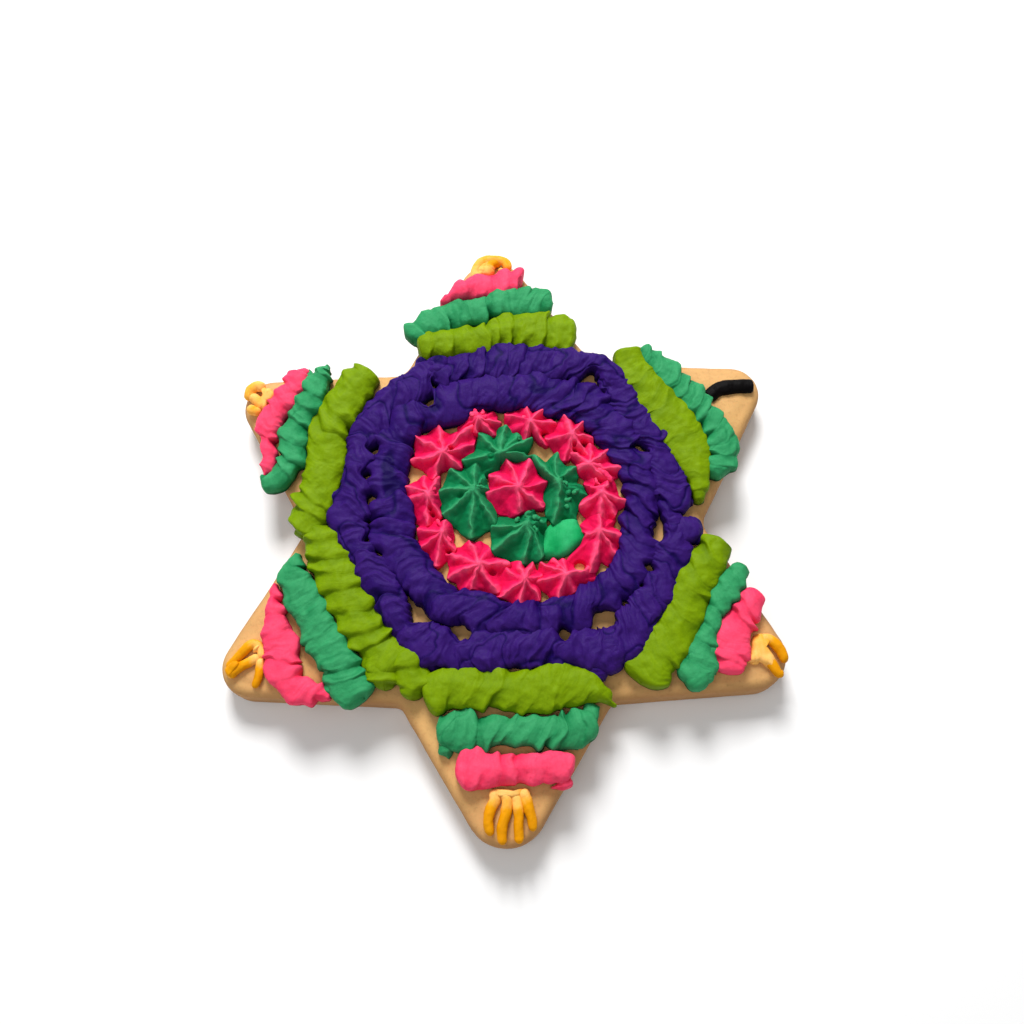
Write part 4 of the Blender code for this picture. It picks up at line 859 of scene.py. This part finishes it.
def rosette(node, peak, outline, pits, seed):
    """A star-tipped rosette: blunt ridges from the peak to places on its outline.

    The top is a low cone cut off at the outline. Each ridge falls off exponentially with the
    distance to either side of it, which leaves round hollows between the ridges. A pit is a round
    hollow with steep sides.
    """
    rng = np.random.default_rng(seed)
    foot, top = node_heights(node)
    height = top - foot
    x, y = peak
    edge = np.array(outline, dtype=float)
    bearing = np.mod(np.arctan2(edge[:, 1] - y, edge[:, 0] - x), 2 * math.pi)
    order = np.argsort(bearing)
    bearing, edge = bearing[order], edge[order]
    distance = np.hypot(edge[:, 0] - x, edge[:, 1] - y)
    theta = np.arange(ROSETTE_COLUMNS) * 2 * math.pi / ROSETTE_COLUMNS
    reach = np.interp(theta, bearing, distance, period=2 * math.pi)
    smooth = sum(np.roll(reach, shift) for shift in (0, 1, -1, 2, -2)) / 5

    out = np.concatenate([np.linspace(0.02, 1, 42), np.full(8, 1.0)])
    down = np.concatenate([np.zeros(42), np.linspace(0, 1, 9)[1:]])
    share, down = out[:, None], down[:, None]
    radius = smooth * share
    flat = np.stack([x + radius * np.cos(theta), y + radius * np.sin(theta), 0 * radius], axis=-1)
    wobble = 0.30 * lumps(flat, 1.6, seed + 5) + 0.12 * lumps(flat, 0.6, seed + 6)
    broad = np.zeros_like(radius)
    # tone is the closeness to a ridge and sets only colour: the ridges are painted paler (painted
    # highlight) and the hollows between them deeper (painted shade)
    tone = np.zeros_like(radius)
    for place, strength in zip(bearing, edge[:, 2]):
        turn = np.mod(theta - place + math.pi, 2 * math.pi) - math.pi
        aside = turn * radius + wobble
        fade = strength * (0.85 + 0.15 * lumps(flat, 1.1, seed + 7))
        blunt = np.sqrt(aside**2 + RIDGE_BLUNTNESS**2) - RIDGE_BLUNTNESS
        broad = np.maximum(broad, fade * np.exp(-blunt / RIDGE_WIDTH))
        tone = np.maximum(tone, fade / (1 + (aside / 0.62) ** 2))
    cone = 0.66 + 0.34 * (1 - share**1.8)
    z = height * cone * 0.84 + 0.12 * height * np.exp(-((radius / 0.8) ** 2))
    fall = smoothstep(0, 1.3, radius)
    z = z + ROSETTE_HOLLOW * fall * (broad - 0.78)
    rough = 0.12 * lumps(flat, 1.5, seed + 1) + 0.05 * lumps(flat, 0.5, seed + 2)
    z = np.maximum(z + rough, 0.75) * (1 - down**1.6)
    bulge = 1 + (0.22 * np.sin(math.pi * down) - 0.10 * down) / smooth
    swirl = SWIRL * (1 - share) ** 1.5 * rng.uniform(-1.2, 1.2)
    points = np.empty((len(out), ROSETTE_COLUMNS, 3))
    points[..., 0] = x + radius * bulge * np.cos(theta + swirl)
    points[..., 1] = y + radius * bulge * np.sin(theta + swirl)
    points[..., 2] = foot + z
    points[..., :2] += (0.14 * lumps(flat, 0.9, seed + 3) * share)[..., None]
    shade = np.clip(1.05 - 1.15 * tone, 0, 1) * fall
    for pit_x, pit_y, pit_radius, depth in pits:
        away = np.hypot(points[..., 0] - pit_x, points[..., 1] - pit_y)
        inside = np.exp(-((away / pit_radius) ** 4))
        points[..., 2] -= depth * inside
        # Each pit is painted dark as well: painted shade in the hollow
        shade = np.maximum(shade, inside)
    points[..., 2] = np.clip(points[..., 2], foot - 0.2, top)
    grain = np.stack([theta * 3.0 + 0 * radius, radius], axis=-1)
    # The steep outer side gets a shade of 0.8, which paints it towards the crease colour: painted shade
    return points, np.maximum(shade, 0.8 * (down > 0)), grain, False


def strand(radius, tint, route, foot, seed, grit=0.0):
    """A round strand along a smooth route, rounded at its ends, thinner and deeper at its tip."""
    length = path_length(route)
    rows = max(12, round(length / STRAND_ROW_STEP))
    x, y, run = smooth_path(route, rows).T
    ahead, left = directions(np.column_stack([x, y]), closed=False)
    turn = np.linspace(0, 2 * math.pi, STRAND_SIDES, endpoint=False)
    end = np.clip(np.minimum(run, length - run) / radius, 0, 1)
    thick = radius * np.sqrt(1 - (1 - end) ** 2 * 0.98) * (1 - 0.18 * smoothstep(0.4, 1, run / length))
    points = np.empty((rows, len(turn), 3))
    sideways = thick[:, None] * np.cos(turn)
    points[..., 0] = x[:, None] + left[:, :1] * sideways
    points[..., 1] = y[:, None] + left[:, 1:] * sideways
    points[..., 2] = foot + radius * 0.95 + thick[:, None] * np.sin(turn)
    rough = 0.12 * lumps(points, 1.3, seed) + 0.05 * lumps(points, 0.5, seed + 1)
    rough += grit * lumps(points, 0.42, seed + 3)
    points[..., :2] += left[:, None, :] * (np.cos(turn) * rough)[..., None]
    points[..., 2] += np.sin(turn) * rough
    patch = 0.18 * lumps(points, 0.9, seed + 2)
    shade = np.clip(tint * smoothstep(0.05, 0.6, run / length)[:, None] + patch, 0, 1)
    grain = np.stack(np.broadcast_arrays(turn * radius, run[:, None]), axis=-1)
    return points, shade, grain, False


# ---------------------------------------------------------------------------------------------
# Finishes
# ---------------------------------------------------------------------------------------------
def srgb(red, green, blue):
    """A colour given as display values from 0 to 255, turned into linear light."""
    linear = []
    for value in (red, green, blue):
        v = value / 255
        linear.append(v / 12.92 if v <= 0.04045 else ((v + 0.055) / 1.055) ** 2.4)
    return (*linear, 1.0)


class Shade:
    """A socket of a material. Arithmetic on it adds the Math nodes that work the result out."""

    def __init__(self, finish, socket):
        self.finish = finish
        self.socket = socket

    def _math(self, operation, *values, clamp=False):
        return self.finish.node("ShaderNodeMath", {"operation": operation, "use_clamp": clamp}, *values)

    def __add__(self, other):
        return self._math("ADD", self, other)

    __radd__ = __add__

    def __sub__(self, other):
        return self._math("SUBTRACT", self, other)

    def __rsub__(self, other):
        return self._math("SUBTRACT", other, self)

    def __mul__(self, other):
        return self._math("MULTIPLY", self, other)

    __rmul__ = __mul__

    def __pow__(self, other):
        return self._math("POWER", self, other)

    def clamped(self):
        return self._math("ADD", self, 0.0, clamp=True)


class Finish:
    """A material with a Principled shader, and one method that adds any other node to it."""

    def __init__(self, name, **constants):
        self.material = bpy.data.materials.new(name)
        self.material.use_nodes = True
        self.tree = self.material.node_tree
        self.shader = self.tree.nodes["Principled BSDF"]
        for label, value in constants.items():
            self.shader.inputs[label.replace("_", " ")].default_value = value

    def _new(self, kind, settings):
        node = self.tree.nodes.new(kind)
        for label, value in settings.items():
            setattr(node, label, value)
        return node

    def _feed(self, sockets, values):
        """Links each socket to its value, or sets it where the value is a plain one."""
        for socket, value in zip(sockets, values):
            if isinstance(value, Shade):
                self.tree.links.new(value.socket, socket)
            else:
                socket.default_value = value

    def node(self, kind, settings, *values, output=0, **named):
        node = self._new(kind, settings)
        sockets = [node.inputs[i] for i in range(len(values))]
        sockets += [node.inputs[label.replace("_", " ")] for label in named]
        self._feed(sockets, [*values, *named.values()])
        return Shade(self, node.outputs[output])

    def place(self):
        return self.node("ShaderNodeTexCoord", {}, output="Object")

    def attribute(self, name):
        return self.node("ShaderNodeAttribute", {"attribute_name": name}, output="Fac")

    def noise(self, scale, detail=3.0, roughness=0.55):
        return self.node("ShaderNodeTexNoise", {}, Vector=self.place(), Scale=scale, Detail=detail,
                         Roughness=roughness, output="Fac")

    def streaks(self, along, across):
        """Noise drawn out along the folds, read from the grain map."""
        grain = self.node("ShaderNodeUVMap", {"uv_map": "grain"}, output="UV")
        stretched = self.node("ShaderNodeVectorMath", {"operation": "MULTIPLY"}, grain,
                              (along, across, 0))
        return self.node("ShaderNodeTexNoise", {}, Vector=stretched, Scale=1.0, Detail=3.0,
                         Roughness=0.6, output="Fac")

    def mix(self, factor, first, second):
        node = self._new("ShaderNodeMix", {"data_type": "RGBA", "blend_type": "MIX"})
        colours = [socket for socket in node.inputs if socket.type == "RGBA"]
        self._feed([node.inputs[0], *colours], [factor, first, second])
        return Shade(self, next(socket for socket in node.outputs if socket.type == "RGBA"))

    def set(self, **values):
        for label, value in values.items():
            self.tree.links.new(value.socket, self.shader.inputs[label.replace("_", " ")])


def contrast(value, low, high):
    """Stretches a 0 to 1 value so that low becomes 0 and high becomes 1."""
    return ((value - low) * (1 / (high - low))).clamped()


def icing_finish(name, crest, body, crease):
    """Buttercream: matt and finely grained, painted paler on its crests as a highlight and deeper in its
    creases as shade.
    """
    finish = Finish(name, Roughness=0.55, Subsurface_Weight=0.08, Subsurface_Scale=0.0008,
                    Specular_IOR_Level=0.08)
    finish.shader.inputs["Subsurface Radius"].default_value = (1.0, 0.7, 0.5)
    # The crease attribute: on the ruffles and rosettes, painted shade in the creases and painted
    # highlight on the crests; on strands and pads, their tint
    depth = finish.attribute("crease")
    cloud = finish.noise(420.0, 3.0)
    speckle = finish.noise(3400.0, 2.0)
    streak = finish.streaks(240.0, 36.0)
    # The crest colour, where the attribute is low, is a painted highlight, and the crease colour, where
    # it is high, painted shade; the noises add real mottling and streaks
    painted_shade_and_mottle = contrast(depth * 0.7 + cloud * 0.4 + speckle * 0.2 + streak * 0.3, 0.40, 0.86)
    colour = finish.mix(painted_shade_and_mottle, crest, body)
    colour = finish.mix(contrast(depth, 0.35, 1.0) ** 1.3, colour, crease)
    finish.set(Base_Color=colour, Roughness=0.48 + cloud * 0.2)
    bump = finish.node("ShaderNodeBump", {}, Strength=0.7, Distance=0.00016,
                       Height=speckle * 0.35 + finish.noise(1400.0, 3.0) * 0.3 + streak * 0.55)
    finish.set(Normal=bump)
    return finish.material


def biscuit_finish():
    """Baked sugar dough: pale and sandy on top, browner at the rim, with small dimples."""
    finish = Finish("biscuit", Roughness=0.72, Subsurface_Weight=0.05, Subsurface_Scale=0.0015,
                    Specular_IOR_Level=0.3)
    rim = finish.attribute("crease")
    broad = finish.noise(60.0, 3.0)
    patch = finish.noise(260.0, 4.0)
    grain = finish.noise(1500.0, 4.0, 0.65)
    colour = finish.mix(contrast(broad * 0.5 + patch * 0.5, 0.38, 0.62), PALE_DOUGH, WARM_DOUGH)
    colour = finish.mix(contrast(grain, 0.52, 0.72) * 0.35, colour, BROWN_DOUGH)
    browned = (rim * 0.55 + contrast(broad, 0.4, 0.7) * rim * 0.3).clamped()
    colour = finish.mix(browned, colour, BROWN_DOUGH)
    finish.set(Base_Color=colour, Roughness=0.62 + patch * 0.2)
    bump = finish.node("ShaderNodeBump", {}, Strength=0.5, Distance=0.0002,
                       Height=grain * 0.6 + patch * 0.4)
    finish.set(Normal=bump)
    return finish.material


PALE_DOUGH = srgb(218, 170, 106)
WARM_DOUGH = srgb(207, 158, 100)
BROWN_DOUGH = srgb(158, 108, 60)

# Icings: material name, then the crest, body and crease colours. On the ruffles and rosettes the paler
# crest colour is a painted highlight and the deeper crease colour painted shade; on the strands, crumbs
# and pads they are the pale and deep tints of the icing
ICINGS = {
    "purple": ("purple_icing", srgb(51, 20, 103), srgb(24, 1, 80), srgb(4, 0, 44)),
    "lime": ("lime_icing", srgb(117, 147, 0), srgb(90, 120, 0), srgb(38, 62, 0)),
    "teal": ("teal_icing", srgb(54, 150, 96), srgb(16, 118, 68), srgb(0, 72, 38)),
    "green": ("green_icing", srgb(56, 148, 98), srgb(24, 134, 84), srgb(0, 104, 58)),
    "leaf": ("green_icing_light", srgb(50, 176, 110), srgb(14, 156, 86), srgb(0, 132, 70)),
    "pink": ("pink_icing", srgb(248, 74, 110), srgb(236, 38, 82), srgb(176, 16, 52)),
    "rose": ("rose_icing", srgb(252, 84, 124), srgb(236, 30, 92), srgb(206, 4, 66)),
    "yellow": ("yellow_icing", srgb(255, 196, 110), srgb(238, 162, 8), srgb(214, 140, 0)),
    "black": ("black_icing", srgb(3, 1, 2), srgb(2, 1, 1), srgb(1, 0, 1)),
}


# ---------------------------------------------------------------------------------------------
# Assembly
# ---------------------------------------------------------------------------------------------
def flaps(node, kind, seed):
    """The loose ends of a piece, each a short ruffle of its own."""
    return [ruffle(node, route, PIPING[kind], lean, 1000 + 50 * seed + k, rise=rise,
                   columns=FLAP_COLUMNS, step=FLAP_STEP, rounding=FLAP_ROUNDING)
            for k, (rise, lean, route) in enumerate(FLAPS.get(node, []))]


def make_icing():
    finishes = {kind: icing_finish(*tones) for kind, tones in ICINGS.items()}
    rings = [("purple_outer", OUTER_RING, -1, 11), ("purple_inner", INNER_RING, 1, 23)]
    for node, stations, side, seed in rings:
        route = np.array(stations, dtype=float)
        route[:, :2] += directions(route[:, :2], closed=True)[1] * side * RING_SPREAD
        route[:, 2] += RING_SPREAD
        sheet = ruffle(node, route, PIPING["purple"], RING_LEAN, seed, closed=True, gaps=RING_GAPS,
                       columns=RING_COLUMNS, step=RING_STEP)
        add_piece(node, [sheet] + flaps(node, "purple", seed), finishes["purple"])
    for seed, (node, (lean, depth, stations)) in enumerate(BANDS.items(), start=3):
        kind = node.split("_")[0]
        piping = dict(PIPING[kind])
        for part in SCALED_BY_DEPTH:
            piping[part] *= depth
        sheet = ruffle(node, stations, piping, lean, 10 * seed)
        add_piece(node, [sheet] + flaps(node, kind, seed), finishes[kind])
    for seed, (node, (height, outline)) in enumerate(PADS.items(), start=30):
        sheet = mound(node, outline, height, PAD_TONE, 10 * seed)
        add_piece(node, [sheet], finishes["leaf"])
    for seed, (node, (peak, outline)) in enumerate(ROSETTES.items(), start=40):
        kind = "green" if node.startswith("green") else "rose"
        peak = (peak[0], peak[1] + PEAK_SHIFT)
        sheets = [rosette(node, peak, outline, PITS.get(node, []), 10 * seed)]
        for k, (radius, height, route) in enumerate(CRUMBS.get(node, [])):
            foot = COOKIE_TOP + CRUMB_LIFT + height - CRUMB_BEDDING * radius
            route = [(x, y + CRUMB_SHIFT) for x, y in route]
            sheets.append(strand(radius, CRUMB_TINT, route, foot, 1000 + 50 * seed + k, grit=CRUMB_GRIT))
        add_piece(node, sheets, finishes[kind])
    for seed, (node, strands) in enumerate(STRANDS.items(), start=70):
        foot, _ = node_heights(node)
        sheets = [strand(radius, tint, route, foot, 10 * seed + k)
                  for k, (radius, tint, route) in enumerate(strands)]
        tone, outline = YELLOW_SHEETS[node]
        sheets.append(mound(node, outline, SHEET_HEIGHT, tone, 10 * seed + 9))
        add_piece(node, sheets, finishes["yellow"])


# ---------------------------------------------------------------------------------------------
# Stage, light and camera
# ---------------------------------------------------------------------------------------------
LOOK_AT = Vector((1.9, 2.15, COOKIE_TOP)) * MM
CAMERA_TILT = math.radians(19.3)
CAMERA_TURN = math.radians(3.0)
CAMERA_ROLL = math.radians(-4.8)
CAMERA_DISTANCE = 167.0 * MM
SENSOR_WIDTH = 36.0
CAMERA_LENS = 35.15625
FLOOR_SIZE = 4.0
FLOOR_DROP = 0.00005     # how far the floor lies below the underside
WORLD_STRENGTH = 0.35
# Lamps: place, width and power
LIGHTS = {
    "key": ((-0.04, 0.38, 0.41), 0.20, 3.65),
    "fill": ((-0.20, -0.20, 0.6), 0.5, 0.9),
}


def make_floor():
    """A plain pale floor just below the underside."""
    bpy.ops.mesh.primitive_plane_add(size=FLOOR_SIZE, location=(0, 0, -FLOOR_DROP))
    floor = bpy.context.object
    floor.name = "floor"
    finish = Finish("floor", Roughness=0.8)
    finish.shader.inputs["Base Color"].default_value = (0.9, 0.9, 0.9, 1)
    floor.data.materials.append(finish.material)


def make_light(name, place, size, power):
    """A square lamp that faces the middle of the cookie."""
    data = bpy.data.lights.new(name, "AREA")
    data.size = size
    data.energy = power
    lamp = bpy.data.objects.new(name, data)
    lamp.location = place
    lamp.rotation_euler = (-Vector(place)).to_track_quat("-Z", "Y").to_euler()
    bpy.context.scene.collection.objects.link(lamp)


def make_world(strength):
    world = bpy.data.worlds.new("studio")
    world.use_nodes = True
    background = world.node_tree.nodes["Background"]
    background.inputs["Color"].default_value = (1, 1, 1, 1)
    background.inputs["Strength"].default_value = strength
    bpy.context.scene.world = world


def make_camera():
    """Looks down on the cookie from the side of its bottom point, a little turned and rolled."""
    back = Vector((math.sin(CAMERA_TURN) * math.sin(CAMERA_TILT),
                   -math.cos(CAMERA_TURN) * math.sin(CAMERA_TILT), math.cos(CAMERA_TILT)))
    level = Vector((math.cos(CAMERA_TURN), math.sin(CAMERA_TURN), 0))
    above = back.cross(level)
    right = math.cos(CAMERA_ROLL) * level + math.sin(CAMERA_ROLL) * above
    up = -math.sin(CAMERA_ROLL) * level + math.cos(CAMERA_ROLL) * above
    data = bpy.data.cameras.new("camera")
    data.sensor_width = SENSOR_WIDTH
    data.lens = CAMERA_LENS
    data.clip_start = 0.01
    camera = bpy.data.objects.new("camera", data)
    turn = Matrix((right, up, back)).transposed().to_4x4()
    camera.matrix_world = Matrix.Translation(LOOK_AT + back * CAMERA_DISTANCE) @ turn
    bpy.context.scene.collection.objects.link(camera)
    bpy.context.scene.camera = camera


make_cookie()
make_icing()
make_floor()
make_world(WORLD_STRENGTH)
for name, lamp in LIGHTS.items():
    make_light(name, *lamp)
make_camera()
bpy.context.scene.view_settings.view_transform = "Standard"
